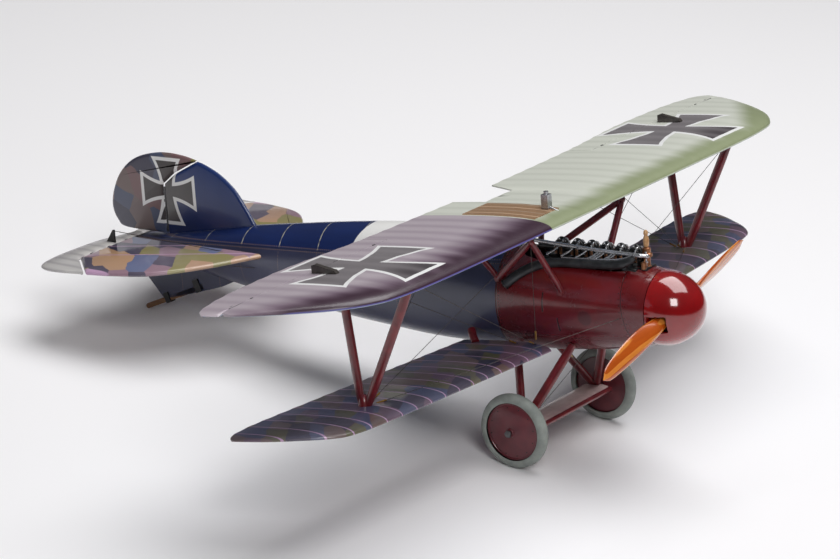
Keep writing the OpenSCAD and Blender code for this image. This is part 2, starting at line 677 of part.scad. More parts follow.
// Streamlined board round the axle between the legs.
fairing_half = wheel_y - 6;
module axle_fairing() {
    color(dark_red) translate([-axle_x, -fairing_half, axle_z]) rotate([-90, 0, 0]) difference() {
        linear_extrude(2 * fairing_half) polygon([for (i = [0:17]) let (a = i * 20)
            [5.4 * cos(a) + 0.6, 1.5 * sin(a) * (1 + 0.3 * cos(a))]]);
        translate([0, 0, -1]) cylinder(r = axle_r, h = 2 * fairing_half + 2, $fn = 32);
    }
}

// Wheel centre: hub with a bore, closed by two shallow cones.
rim_r = 9.3;
module wheel() {
    color(dark_red) translate([-axle_x, wheel_y, axle_z]) rotate([-90, 0, 0]) difference() {
        rotate_extrude($fn = 72) polygon([[0.2, -1.6], [2, -1.6], [rim_r, -1.1], [rim_r, 1.1],
            [2.4, 2.5], [2, 3.1], [0.2, 3.1]]);
        translate([0, 0, -3]) cylinder(r = axle_r + running_gap, h = 8, $fn = 48);
    }
}
module tyre() {
    color(grey) translate([-axle_x, wheel_y, axle_z]) rotate([-90, 0, 0]) rotate_extrude($fn = 72)
        difference() {
            translate([tyre_r - 1.9, 0]) circle(r = 1.9, $fn = 40);
            translate([0, -3]) square([rim_r, 6]);
        }
}
module wheel_left() {
    wheel();
}
module wheel_right() {
    mirror([0, 1, 0]) wheel();
}
module tyre_left() {
    tyre();
}
module tyre_right() {
    mirror([0, 1, 0]) tyre();
}

// ---- rigging: each wire as its two ends on the port side ----
wire_r = 0.09;
wing_root = [-42, 13.6, -12.4];
top_front = [-31.2, strut_y - 1.2, 28.9];
top_rear = [-56.4, strut_y - 1.2, 28.9];
foot = strut_foot + [0, -1.6, 0.6];
cabane_end = cabane_apex + [0.3, 0.9, 0.5];
wires = [[wing_root, top_front], [wing_root - [6, 0, 0.6], top_rear], [foot, cabane_end],
    [foot - [1, 0, 0], cabane_top_rear + [0.4, 0.7, -1]], [foot + [1, 0, 0], [-12, 12.9, -1]],
    [wing_root, cabane_apex - [0.4, 0.6, 0.6]], [[-33, 9.8, -14.6], [-axle_x + 1.2, 6 - wheel_y, axle_z + 1.4]],
    [[-203.9, horn_y, tail_z + 4.3], [-150, 9.9, 3.6]], [[-203, horn_y, tail_z - 4], [-152, 9.6, 0]]];
module rigging_wires() {
    color("#3a3530") both_sides() for (w = wires) bar(w[0], w[1], wire_r, 16);
}
// Turnbuckles sit near the first end of the braced wires.
module turnbuckles() {
    color(brass) both_sides() for (i = [0:6]) let (w = wires[i], d = w[1] - w[0], u = d / norm(d))
        bar(w[0] + u * 2.2, w[0] + u * 5.4, 0.3, 16);
}

// ---- every node ----
place() nose_ring();
place() cowl_left();
place() cowl_right();
place() fuselage_left();
place() fuselage_right();
place() cockpit_floor();
place() pilot_seat();
place() control_stick();
place() instrument_panel();
place() cockpit_coaming();
place() windscreen();
place() engine_bearers();
place() crankcase();
place() cylinders();
place() cam_housing();
place() rocker_arms();
place() exhaust_manifold();
place() water_rail();
place() inlet_pipes();
place() cam_drive();
place() prop_shaft();
place() propeller();
place() spinner();
place() spinner_backplate();
place() upper_wing();
place() radiator();
place() header_tank();
place() lower_wing_left();
place() lower_wing_right();
place() cabane_left();
place() cabane_right();
place() interplane_left();
place() interplane_right();
place() aileron_left();
place() aileron_right();
place() aileron_tube_left();
place() aileron_tube_right();
place() hinge_brackets();
place() crank_fairings();
place() tailplane_left();
place() tailplane_right();
place() elevator();
place() elevator_rod();
place() elevator_horns();
place() fin();
place() rudder();
place() rudder_post();
place() ventral_fin();
place() tail_skid();
place() skid_fittings();
place() gear_left();
place() gear_right();
place() axle();
place() axle_fairing();
place() wheel_left();
place() wheel_right();
place() tyre_left();
place() tyre_right();
place() rigging_wires();
place() turnbuckles();
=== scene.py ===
import json
import math

import bmesh
import bpy
from mathutils import Matrix, Vector


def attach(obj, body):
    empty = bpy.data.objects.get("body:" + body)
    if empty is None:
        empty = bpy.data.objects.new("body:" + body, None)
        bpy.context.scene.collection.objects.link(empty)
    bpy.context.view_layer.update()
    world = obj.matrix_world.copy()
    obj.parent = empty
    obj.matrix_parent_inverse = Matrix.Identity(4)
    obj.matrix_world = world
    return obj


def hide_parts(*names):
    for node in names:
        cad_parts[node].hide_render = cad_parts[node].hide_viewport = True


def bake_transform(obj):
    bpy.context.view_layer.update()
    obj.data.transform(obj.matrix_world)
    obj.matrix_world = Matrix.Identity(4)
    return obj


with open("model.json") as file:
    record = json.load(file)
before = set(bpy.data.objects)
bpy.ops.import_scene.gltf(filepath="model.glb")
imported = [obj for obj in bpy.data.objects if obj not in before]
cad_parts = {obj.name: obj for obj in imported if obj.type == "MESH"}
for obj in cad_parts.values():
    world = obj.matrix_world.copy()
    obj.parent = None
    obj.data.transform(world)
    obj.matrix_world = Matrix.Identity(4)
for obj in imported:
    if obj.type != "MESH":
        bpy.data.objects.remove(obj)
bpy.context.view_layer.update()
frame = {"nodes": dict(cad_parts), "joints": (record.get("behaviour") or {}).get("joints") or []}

# ---------------------------------------------------------------- the flight frame
# Pieces are drawn in millimetres in the flight frame: X forward from the propeller plane,
# Y to port, Z up from the thrust line. The propeller's joint says where that frame lies.
JOINTS = {j["name"]: j for j in frame["joints"]}
THRUST = JOINTS["propeller_spin"]
ORIGIN = Vector(THRUST["pos_m"])
FORWARD = Vector(THRUST["axis"]).normalized()
PORT = Vector((0, 1, 0))
UP = FORWARD.cross(PORT)
TILT = math.atan2(FORWARD.z, FORWARD.x)
MM = 0.001
TO_WORLD = Matrix((
    (FORWARD.x * MM, PORT.x * MM, UP.x * MM, ORIGIN.x),
    (FORWARD.y * MM, PORT.y * MM, UP.y * MM, ORIGIN.y),
    (FORWARD.z * MM, PORT.z * MM, UP.z * MM, ORIGIN.z),
    (0, 0, 0, 1)))


RIB_STEP = 7.35                 # between the ribs of a wing
FIRST_RIB = 2.9                 # the first rib's distance from the middle
PARK = math.radians(13.7)       # how far the blades stand from upright


# ---------------------------------------------------------------- camera, floor and light
def look(direction, roll):
    """World rotation of something that looks along a flight-frame direction with a roll."""
    right = direction.cross(Vector((0, 0, 1))).normalized()
    up = right.cross(direction)
    r = math.cos(roll) * right + math.sin(roll) * up
    u = -math.sin(roll) * right + math.cos(roll) * up
    turn = Matrix((FORWARD, PORT, UP)).transposed()
    return (turn @ Matrix((r, u, -direction)).transposed()).to_4x4()


def make_camera():
    data = bpy.data.cameras.new("camera")
    data.sensor_width = 36
    data.lens = 152.5
    data.clip_start = 0.05
    data.clip_end = 20
    camera = bpy.data.objects.new("camera", data)
    bpy.context.scene.collection.objects.link(camera)
    pitch, heading, roll = 0.2714, 2.1899, -0.07
    direction = Vector((math.cos(pitch) * math.cos(heading), math.cos(pitch) * math.sin(heading),
                        -math.sin(pitch)))
    place = TO_WORLD @ Vector((536.4, -884.1, 301.6))
    camera.matrix_world = Matrix.Translation(place) @ look(direction, roll)
    bpy.context.scene.camera = camera


def area_light(name, place, target, size, energy):
    data = bpy.data.lights.new(name, "AREA")
    data.shape = "RECTANGLE"
    data.size, data.size_y = size
    data.energy = energy
    light = bpy.data.objects.new(name, data)
    bpy.context.scene.collection.objects.link(light)
    light.location = place
    light.rotation_euler = (Vector(target) - Vector(place)).to_track_quat("-Z", "Y").to_euler()


def make_studio():
    bpy.context.scene.view_settings.view_transform = "Standard"
    floor = bpy.data.meshes.new("floor")
    half = 6
    floor.from_pydata([(-half, -half, 0), (half, -half, 0), (half, half, 0), (-half, half, 0)], [],
                      [(0, 1, 2, 3)])
    obj = bpy.data.objects.new("floor", floor)
    bpy.context.scene.collection.objects.link(obj)
    mat = bpy.data.materials.new("floor")
    mat.use_nodes = True
    shader = mat.node_tree.nodes["Principled BSDF"]
    shader.inputs["Base Color"].default_value = (0.93, 0.92, 0.935, 1)
    shader.inputs["Roughness"].default_value = 0.7
    shader.inputs["Specular IOR Level"].default_value = 0.2
    floor.materials.append(mat)
    world = bpy.data.worlds.new("studio")
    world.use_nodes = True
    nodes, links = world.node_tree.nodes, world.node_tree.links
    where = nodes.new("ShaderNodeTexCoord")
    parts = nodes.new("ShaderNodeSeparateXYZ")
    rise = nodes.new("ShaderNodeMapRange")
    rise.interpolation_type = "SMOOTHSTEP"
    rise.inputs["From Min"].default_value = 0.15
    rise.inputs["From Max"].default_value = 0.8
    rise.inputs["To Min"].default_value = 0.7
    rise.inputs["To Max"].default_value = 1.9
    links.new(where.outputs["Generated"], parts.inputs[0])
    links.new(parts.outputs["Z"], rise.inputs["Value"])
    links.new(rise.outputs["Result"], nodes["Background"].inputs["Strength"])
    bpy.context.scene.world = world
    area_light("overhead", (0.1, 0.25, 1.0), (0, 0, 0), (1.0, 0.7), 10)
    area_light("window", (0.75, -0.75, 0.85), (0.08, 0, 0.05), (0.4, 0.5), 6)


# ---------------------------------------------------------------- node arithmetic
def rgb(r, g, b):
    """An sRGB colour from 0 to 255, as the linear values that a shader takes."""
    return tuple((c / 255 / 12.92) if c <= 10 else ((c / 255 + 0.055) / 1.055) ** 2.4
                 for c in (r, g, b)) + (1.0,)


class Value:
    """A number worked out by shader nodes, so that a pattern reads as a formula."""

    def __init__(self, tree, socket):
        self.tree = tree
        self.socket = socket

    def math(self, operation, *others):
        node = self.tree.nodes.new("ShaderNodeMath")
        node.operation = operation
        for slot, value in zip(node.inputs, (self,) + others):
            if isinstance(value, Value):
                self.tree.links.new(value.socket, slot)
            else:
                slot.default_value = value
        return Value(self.tree, node.outputs[0])

    def __add__(self, other):
        return self.math("ADD", other)

    def __sub__(self, other):
        return self.math("SUBTRACT", other)

    def __mul__(self, other):
        return self.math("MULTIPLY", other)

    def __truediv__(self, other):
        return self.math("DIVIDE", other)

    def __neg__(self):
        return self * -1

    def abs(self):
        return self.math("ABSOLUTE")

    def above(self, edge, soft=0.1):
        """0 below edge, 1 above it, with a soft change between."""
        node = self.tree.nodes.new("ShaderNodeMapRange")
        node.interpolation_type = "SMOOTHSTEP"
        node.inputs["From Min"].default_value = -soft
        node.inputs["From Max"].default_value = soft
        self.tree.links.new((self - edge).socket, node.inputs["Value"])
        return Value(self.tree, node.outputs["Result"])

    def below(self, edge, soft=0.1):
        return (-self).above(-edge, soft)

    def line(self, centre, half, soft=0.06):
        return (self - centre).abs().below(half, soft)

    def away(self, other):
        """Distance from the point where both values are 0."""
        return (self.math("POWER", 2) + other.math("POWER", 2)).math("SQRT")

    def repeat(self, step):
        """Distance to the nearest multiple of step."""
        return ((self / step + 0.5).math("FRACT") - 0.5).abs() * step


def most(*values):
    result = values[0]
    for v in values[1:]:
        result = result.math("MAXIMUM", v)
    return result


def least(*values):
    result = values[0]
    for v in values[1:]:
        result = result.math("MINIMUM", v)
    return result


class Surface:
    """A material whose patterns are laid out in flight-frame millimetres."""

    def __init__(self, name, rough=0.5, metal=0.0, coat=0.0, coat_rough=0.1):
        self.mat = bpy.data.materials.new(name)
        self.mat.use_nodes = True
        self.tree = self.mat.node_tree
        self.shader = self.tree.nodes["Principled BSDF"]
        self.shader.inputs["Metallic"].default_value = metal
        self.shader.inputs["Roughness"].default_value = rough
        self.shader.inputs["Coat Weight"].default_value = coat
        self.shader.inputs["Coat Roughness"].default_value = coat_rough
        texture = self.tree.nodes.new("ShaderNodeTexCoord")
        mapping = self.tree.nodes.new("ShaderNodeMapping")
        mapping.inputs["Scale"].default_value = (1 / MM, 1 / MM, 1 / MM)
        mapping.inputs["Rotation"].default_value = (0, TILT, 0)
        mapping.inputs["Location"].default_value = TO_WORLD.inverted() @ Vector((0, 0, 0))
        self.tree.links.new(texture.outputs["Object"], mapping.inputs["Vector"])
        self.place = mapping.outputs["Vector"]
        self.x, self.y, self.z = self.split(self.place)
        turn = self.tree.nodes.new("ShaderNodeMapping")
        turn.inputs["Rotation"].default_value = (0, TILT, 0)
        self.tree.links.new(texture.outputs["Normal"], turn.inputs["Vector"])
        self.nz = self.split(turn.outputs["Vector"])[2]

    def split(self, socket):
        node = self.tree.nodes.new("ShaderNodeSeparateXYZ")
        self.tree.links.new(socket, node.inputs[0])
        return [Value(self.tree, s) for s in node.outputs]

    def join(self, x, y, z=0.0):
        node = self.tree.nodes.new("ShaderNodeCombineXYZ")
        for slot, value in zip(node.inputs, (x, y, z)):
            if isinstance(value, Value):
                self.tree.links.new(value.socket, slot)
            else:
                slot.default_value = value
        return node.outputs[0]

    def noise(self, size, detail=3.0, stretch=(1, 1, 1), rough=0.5):
        """Noise from about 0 to 1 whose features are size millimetres across."""
        node = self.tree.nodes.new("ShaderNodeTexNoise")
        node.inputs["Scale"].default_value = 1 / size
        node.inputs["Detail"].default_value = detail
        node.inputs["Roughness"].default_value = rough
        where = self.join(self.x * stretch[0], self.y * stretch[1], self.z * stretch[2])
        self.tree.links.new(where, node.inputs["Vector"])
        return Value(self.tree, node.outputs[0])

    def mix(self, factor, a, b):
        """Colour a where factor is 0 and b where it is 1."""
        node = self.tree.nodes.new("ShaderNodeMix")
        node.data_type = "RGBA"
        if isinstance(factor, Value):
            self.tree.links.new(factor.socket, node.inputs[0])
        else:
            node.inputs[0].default_value = factor
        for slot, value in ((node.inputs[6], a), (node.inputs[7], b)):
            if isinstance(value, tuple):
                slot.default_value = value
            else:
                self.tree.links.new(value, slot)
        return node.outputs[2]

    def cells(self, u, v, colours, random=0.55):
        """Polygon cells one unit across, each with one of the colours."""
        node = self.tree.nodes.new("ShaderNodeTexVoronoi")
        node.voronoi_dimensions = "2D"
        node.inputs["Scale"].default_value = 1
        node.inputs["Randomness"].default_value = random
        self.tree.links.new(self.join(u, v), node.inputs["Vector"])
        pick = self.tree.nodes.new("ShaderNodeSeparateColor")
        self.tree.links.new(node.outputs["Color"], pick.inputs[0])
        ramp = self.tree.nodes.new("ShaderNodeValToRGB")
        ramp.color_ramp.interpolation = "CONSTANT"
        points = ramp.color_ramp.elements
        while len(points) < len(colours):
            points.new(0.5)
        for i, colour in enumerate(colours):
            points[i].position = i / len(colours)
            points[i].color = colour
        self.tree.links.new(pick.outputs[0], ramp.inputs[0])
        return ramp.outputs[0]

    def colour(self, socket):
        self.tree.links.new(socket, self.shader.inputs["Base Color"])

    def roughness(self, value):
        self.tree.links.new(value.socket, self.shader.inputs["Roughness"])

    def bump(self, height, depth_mm=0.1, strength=1.0):
        node = self.tree.nodes.new("ShaderNodeBump")
        node.inputs["Strength"].default_value = strength
        node.inputs["Distance"].default_value = depth_mm * MM
        self.tree.links.new(height.socket, node.inputs["Height"])
        self.tree.links.new(node.outputs[0], self.shader.inputs["Normal"])
        self.tree.links.new(node.outputs[0], self.shader.inputs["Coat Normal"])


# ---------------------------------------------------------------- materials
def plain(name, colour, dark, size, rough, spread=0.12, bump_mm=0.004, **finish):
    """Paint or metal with uneven tone, uneven gloss and a fine surface grain."""
    s = Surface(name, rough=rough, **finish)
    blotch = s.noise(size, 4)
    grain = s.noise(0.5, 3)
    s.colour(s.mix(blotch.above(0.5, 0.3), colour, dark))
    s.roughness(blotch * spread + (rough - spread / 2))
    s.bump(grain, bump_mm, 0.5)
    return s.mat


def cross_pattern(s, u, v, half, waist, flare, edge):
    """Masks of a flared cross and of the pale edge round it."""
    far = most(u.abs(), v.abs())
    near = least(u.abs(), v.abs())
    width = far * far * (flare / half ** 2) + waist
    outer = least(far.below(half, 0.08), (near - width).below(0, 0.08))
    inner = least(far.below(half - edge, 0.08), (near - width).below(-edge, 0.08))
    return outer, inner


LOZENGE = (rgb(188, 148, 112), rgb(140, 132, 66), rgb(94, 108, 146), rgb(150, 116, 130), rgb(58, 54, 78))
# The same five lozenge colours at about two thirds brightness: painted shade for the lower wings, which lie
# under the upper wing.
LOZENGE_SHADED = (rgb(104, 84, 76), rgb(86, 84, 46), rgb(60, 72, 104), rgb(98, 74, 92), rgb(38, 36, 60))
RUDDER_CAMO = (rgb(122, 104, 100), rgb(124, 118, 62), rgb(80, 90, 116), rgb(128, 98, 98), rgb(66, 66, 84))
TAPE = rgb(196, 160, 192)


def lozenge_fabric(name, across, along, tape, colours, size=7.4, pale=0.35, coat=0.5):
    """Printed polygons under varnish, with pale tape over each rib and along the edge."""
    s = Surface(name, rough=0.34, coat=coat, coat_rough=0.12)
    wander = s.noise(7, 2) * 0.25
    u = across(s) / size + along(s) * (0.5 / size) + wander
    v = along(s) / (size * 1.25) + wander
    base = s.cells(u, v, colours)
    faded = s.mix(s.noise(26, 2).above(0.5, 0.3) * pale, base, rgb(158, 148, 160))
    weave = s.x.repeat(0.3) + s.z.repeat(0.3) + s.y.repeat(0.3)
    s.colour(s.mix(tape(s), faded, TAPE))
    s.bump(weave * 0.4 + tape(s) * 0.6, 0.04, 0.35)
    s.roughness(s.noise(12, 3) * 0.16 + 0.26)
    return s.mat


TAIL_CROSS = (-192.4, 20.1)


def tail_cross(s, skin):
    """The dark cross with a white edge that lies across the fin and the rudder."""
    outer, inner = cross_pattern(s, s.x - TAIL_CROSS[0], s.z - TAIL_CROSS[1], 11.4, 2.9, 3.3, 1.2)
    skin = s.mix(outer, skin, rgb(240, 240, 240))
    return s.mix(inner, skin, s.mix(s.noise(5, 3), rgb(64, 60, 60), rgb(82, 76, 76)))


def rudder_fabric():
    s = Surface("rudder_lozenge", rough=0.36, coat=0.4, coat_rough=0.15)
    wander = s.noise(7, 2) * 0.25
    u = s.z / 7.6 + s.x * (0.5 / 7.6) + wander
    base = s.cells(u, s.x / 8.4 + wander + 0.37, RUDDER_CAMO)
    base = s.mix(s.noise(16, 2).above(0.5, 0.3) * 0.3, base, rgb(92, 86, 104))
    rim = s.noise(4, 2) * 0.3 + s.x * -0.05
    s.colour(tail_cross(s, s.mix(rim.above(11.2, 0.5) * 0.2, base, rgb(60, 60, 84))))
    s.bump(s.x.repeat(0.3) + s.z.repeat(0.3), 0.03, 0.3)
    s.roughness(s.noise(12, 3) * 0.16 + 0.28)
    return s.mat


def fin_skin():
    s = Surface("fin_blue", rough=0.32, coat=0.5, coat_rough=0.12)
    grain = s.noise(3, 4, (1, 1, 0.15))
    shade = (s.z - 9).above(6, 14)
    blue = s.mix(grain * 0.5 + s.noise(14, 3) * 0.5, rgb(26, 44, 100), rgb(16, 28, 70))
    blue = s.mix(shade * 0.5, blue, rgb(40, 66, 128))
    s.colour(tail_cross(s, blue))
    s.bump(grain, 0.03, 0.4)
    s.roughness(s.noise(9, 3) * 0.2 + 0.24)
    return s.mat


def elevator_fabric():
    """Pale doped fabric over close ribs."""
    s = Surface("elevator_fabric", rough=0.3, coat=0.6, coat_rough=0.12)
    ribs = (s.y + s.x * 0.12).repeat(5.6)
    base = s.mix(s.noise(9, 3), rgb(214, 210, 204), rgb(186, 184, 186))
    base = s.mix(ribs.below(0.9, 0.9) * 0.55, base, rgb(150, 146, 150))
    s.colour(s.mix((-s.x).above(211, 2.5) * 0.5, base, rgb(168, 160, 168)))
    s.bump(ribs.below(0.5, 0.4) + s.x.repeat(0.3) * 0.3, 0.05, 0.4)
    s.roughness(s.noise(10, 3) * 0.16 + 0.24)
    return s.mat


def wing_tapes(s):
    return most((s.y.abs() - FIRST_RIB).repeat(RIB_STEP).below(0.24, 0.1),
                (s.x + 37.6).above(0, 0.15) * s.y.abs().below(112, 0.5))


def tail_tapes(s):
    rib = s.y.abs() + (s.x + 205) * 0.42
    edge = (s.x + 147.6) * -0.6
    return most(rib.line(20, 0.32, 0.1), rib.line(31.5, 0.32, 0.1),
                (s.y.abs() - 44 - (s.x + 192) * 0.1).above(0, 0.2), edge.below(0.35, 0.2))


def upper_fabric():
    s = Surface("upper_fabric", rough=0.4, coat=0.3, coat_rough=0.2)
    side = s.y.below(-27.8, 0.12)
    blotch = s.noise(30, 3)
    streak = s.noise(5, 3, (0.12, 1, 1))
    ribs = ((s.y - 0.6 + s.x * 0.04) / RIB_STEP).math("FRACT")
    rib_tone = (ribs - 0.5).abs() * 2
    lilac = s.mix(blotch * 0.6 + streak * 0.3, rgb(196, 186, 192), rgb(166, 152, 164))
    lilac = s.mix(rib_tone.above(0.62, 0.4) * 0.4, lilac, rgb(136, 120, 136))
    nose = s.x + 24.4 + s.y.abs().above(100, 12) * ((s.y.abs() - 100) * 0.62)
    root = (-s.y.abs()).above(-70, 45)
    band = nose + streak * 7 + rib_tone * 1.5 + root * 3.2
    lilac = s.mix(band.above(-6.5, 7) * 0.8, lilac, rgb(92, 66, 88))
    lilac = s.mix(band.above(-0.5, 4) * 0.95, lilac, rgb(50, 22, 42))
    green = s.mix(blotch * 0.5 + streak * 0.2, rgb(222, 224, 214), rgb(200, 204, 192))
    green = s.mix(rib_tone.above(0.66, 0.36) * 0.28, green, rgb(172, 176, 164))
    green = s.mix((nose + streak * 5).above(-4.5, 4.5) * 0.9, green, rgb(134, 144, 104))
    skin = s.mix(side, green, lilac)
    outer, inner = cross_pattern(s, s.x + 51.5, s.y.abs() - 87.2, 22.3, 4.9, 5.4, 1.45)
    tone = s.mix(s.noise(20, 2) * 0.5 + streak * 0.4, rgb(108, 104, 106), rgb(134, 128, 132))
    tone = s.mix((nose + streak * 4).above(-12, 7) * 0.8, tone, rgb(58, 50, 56))
    tone = s.mix(rib_tone.above(0.6, 0.4) * 0.3, tone, rgb(150, 144, 148))
    skin = s.mix(outer, skin, rgb(242, 242, 242))
    skin = s.mix(inner, skin, tone)
    edge = s.z.below(29.75, 0.15) * nose.above(-3.0, 1)
    skin = s.mix(edge * 0.85, skin, s.mix(side, rgb(196, 202, 186), rgb(104, 100, 172)))
    under = s.nz.below(-0.15, 0.1)
    skin = s.mix(under * s.z.below(31.5, 0.2), skin, rgb(150, 166, 186))
    s.colour(skin)
    weave = s.x.repeat(0.3) + s.y.repeat(0.3)
    s.bump(weave * 0.5 + rib_tone.above(0.9, 0.08) * 0.7 + s.noise(1.2, 2) * 0.2, 0.04, 0.4)
    s.roughness(blotch * 0.15 + 0.32)
    return s.mat


SEAM_STEP = 15.9


def body_fabric():
    """Blue-stained plywood: seams along the longerons and at the frames, each with a row of pins."""
    s = Surface("blue_plywood", rough=0.34, coat=0.5, coat_rough=0.16)
    grain = s.noise(3, 4, (0.12, 1, 1))
    blotch = s.noise(18, 3)
    top_line = s.z - (s.x + 119) * 0.0475 - 8.55
    blue = s.mix(grain * 0.4 + blotch * 0.5, rgb(24, 46, 104), rgb(12, 24, 62))
    slate = s.mix(blotch * 0.5 + grain * 0.4, rgb(64, 68, 96), rgb(40, 42, 66))
    near_top = top_line.above(0, 0.9)
    skin = s.mix(near_top, slate, blue)
    frames = (s.x + 142.1).repeat(SEAM_STEP)
    behind = s.x.below(-92, 0.3)
    girth = s.z + s.y.abs() * 0.8
    pins_round = girth.repeat(0.8).below(0.22, 0.08)
    pins_long = s.x.repeat(0.8).below(0.2, 0.08)
    band = frames.below(0.16, 0.06) * behind * top_line.above(0.3, 0.2)
    low_pins = frames.below(0.14, 0.05) * behind * pins_round * top_line.below(-0.6, 0.2)
    long_pins = top_line.abs().line(0.5, 0.14, 0.06) * pins_long
    join = top_line.abs().below(0.1, 0.05)
    skin = s.mix(join * 0.7, skin, rgb(14, 16, 30))
    skin = s.mix(band * (pins_round * 0.6 + 0.4) * 0.85, skin, rgb(196, 190, 170))
    skin = s.mix(most(low_pins * 0.35, long_pins * 0.6), skin, rgb(150, 122, 100))
    disc = (s.x + 102.5).away(s.z - 9.5).below(10.2, 0.12)
    skin = s.mix(disc, skin, rgb(238, 237, 235))
    s.colour(skin)
    s.bump(grain * 0.25 - join * 0.8 + most(low_pins, long_pins, band) * 0.4, 0.06, 0.5)
    s.roughness(blotch * 0.2 + 0.24)
    return s.mat


def red_cowl():
    """Maroon sheet metal with screws, louvres, worn edges and a round hatch."""
    s = Surface("red_cowl", rough=0.26, coat=0.6, coat_rough=0.1)
    blotch = s.noise(14, 4)
    wear = s.noise(2.2, 4, rough=0.7)
    skin = s.mix(blotch.above(0.5, 0.3), rgb(116, 22, 26), rgb(88, 16, 22))
    # Painted shade: the cowl is darkened towards its bottom, below the thrust line.
    low = (s.z * -1).above(0, 9)
    skin = s.mix(low * 0.6, skin, rgb(74, 26, 38))
    skin = s.mix(wear.above(0.62, 0.14) * 0.3, skin, rgb(52, 12, 18))
    front = (s.x + 11.2 + s.z * 0.16).abs()
    belt = (s.z + 9.2 + s.x * -0.02).abs()
    upper = (s.z - 6.6 - s.x * 0.03).abs()
    slot_a = (s.x + 38.8).abs().below(0.28, 0.06) * (s.z - 1.6).abs().below(3.0, 0.1)
    slot_b = (s.x + 33.8).abs().below(0.28, 0.06) * (s.z + 5.2).abs().below(2.3, 0.1)
    seam = most(front.below(0.13, 0.05), belt.below(0.08, 0.05) * s.x.below(-11.5, 0.1),
                (s.x + 55.6).abs().below(0.2, 0.08))
    turn = s.y.math("ARCTAN2", s.z) * 12
    pins = most((s.x + 54.7).abs().below(0.2, 0.06) * turn.repeat(1.0).below(0.18, 0.06),
                front.line(0.7, 0.15, 0.05) * turn.repeat(1.8).below(0.2, 0.06),
                upper.below(0.15, 0.05) * s.x.repeat(1.4).below(0.16, 0.05) * s.x.below(-36, 0.1))
    hatch = (s.x + 24.1).away(s.z + 2.1)
    skin = s.mix(hatch.below(2.4, 0.4) * 0.55, skin, rgb(52, 18, 26))
    skin = s.mix(most(seam * 0.85, pins * 0.7, slot_a * 0.8, slot_b * 0.8), skin, rgb(24, 6, 10))
    s.colour(skin)
    s.bump(wear * 0.08 - seam * 0.9 - pins * 0.3 - most(slot_a, slot_b) + hatch.line(2.4, 0.1, 0.1) * 0.4,
           0.07, 0.5)
    s.roughness(blotch * 0.16 + wear * 0.08 + 0.14)
    return s.mat


def laminated_wood():
    """Two alternating timbers in layers across the blade, under thick varnish."""
    s = Surface("laminated_wood", rough=0.22, coat=0.8, coat_rough=0.05)
    across = s.z * math.cos(PARK) - s.y * math.sin(PARK)
    layer = s.x + across * 0.9 + s.noise(14, 2) * 0.5
    stripe = ((layer / 1.7).math("FRACT") - 0.5).abs().above(0.25, 0.03)
    grain = s.noise(1.6, 4, (1, 0.05, 1))
    light = s.mix(grain, rgb(232, 150, 66), rgb(204, 112, 34))
    dark = s.mix(grain, rgb(196, 92, 20), rgb(160, 66, 12))
    s.colour(s.mix(stripe, light, dark))
    s.bump(grain, 0.02, 0.3)
    return s.mat


def skid_wood():
    s = Surface("skid_wood", rough=0.5)
    grain = s.noise(0.7, 4, (0.1, 1, 1))
    s.colour(s.mix(grain, rgb(150, 112, 76), rgb(98, 68, 44)))
    s.bump(grain, 0.04, 0.5)
    return s.mat


def tyre_rubber():
    s = Surface("tyre_rubber", rough=0.62)
    dust = s.noise(3.5, 4)
    s.colour(s.mix(dust.above(0.5, 0.3), rgb(150, 156, 150), rgb(122, 128, 124)))
    s.bump(s.noise(0.5, 3), 0.03, 0.5)
    return s.mat


def radiator_core():
    s = Surface("radiator_core", rough=0.4, metal=0.4)
    slats = s.y.repeat(1.0)
    rows = s.y.repeat(3.5)
    base = s.mix(slats.above(0.28, 0.08), rgb(198, 158, 122), rgb(118, 88, 66))
    s.colour(s.mix(rows.below(0.3, 0.1), base, rgb(206, 178, 150)))
    s.bump(slats, 0.2, 0.8)
    return s.mat


MATERIALS = {}


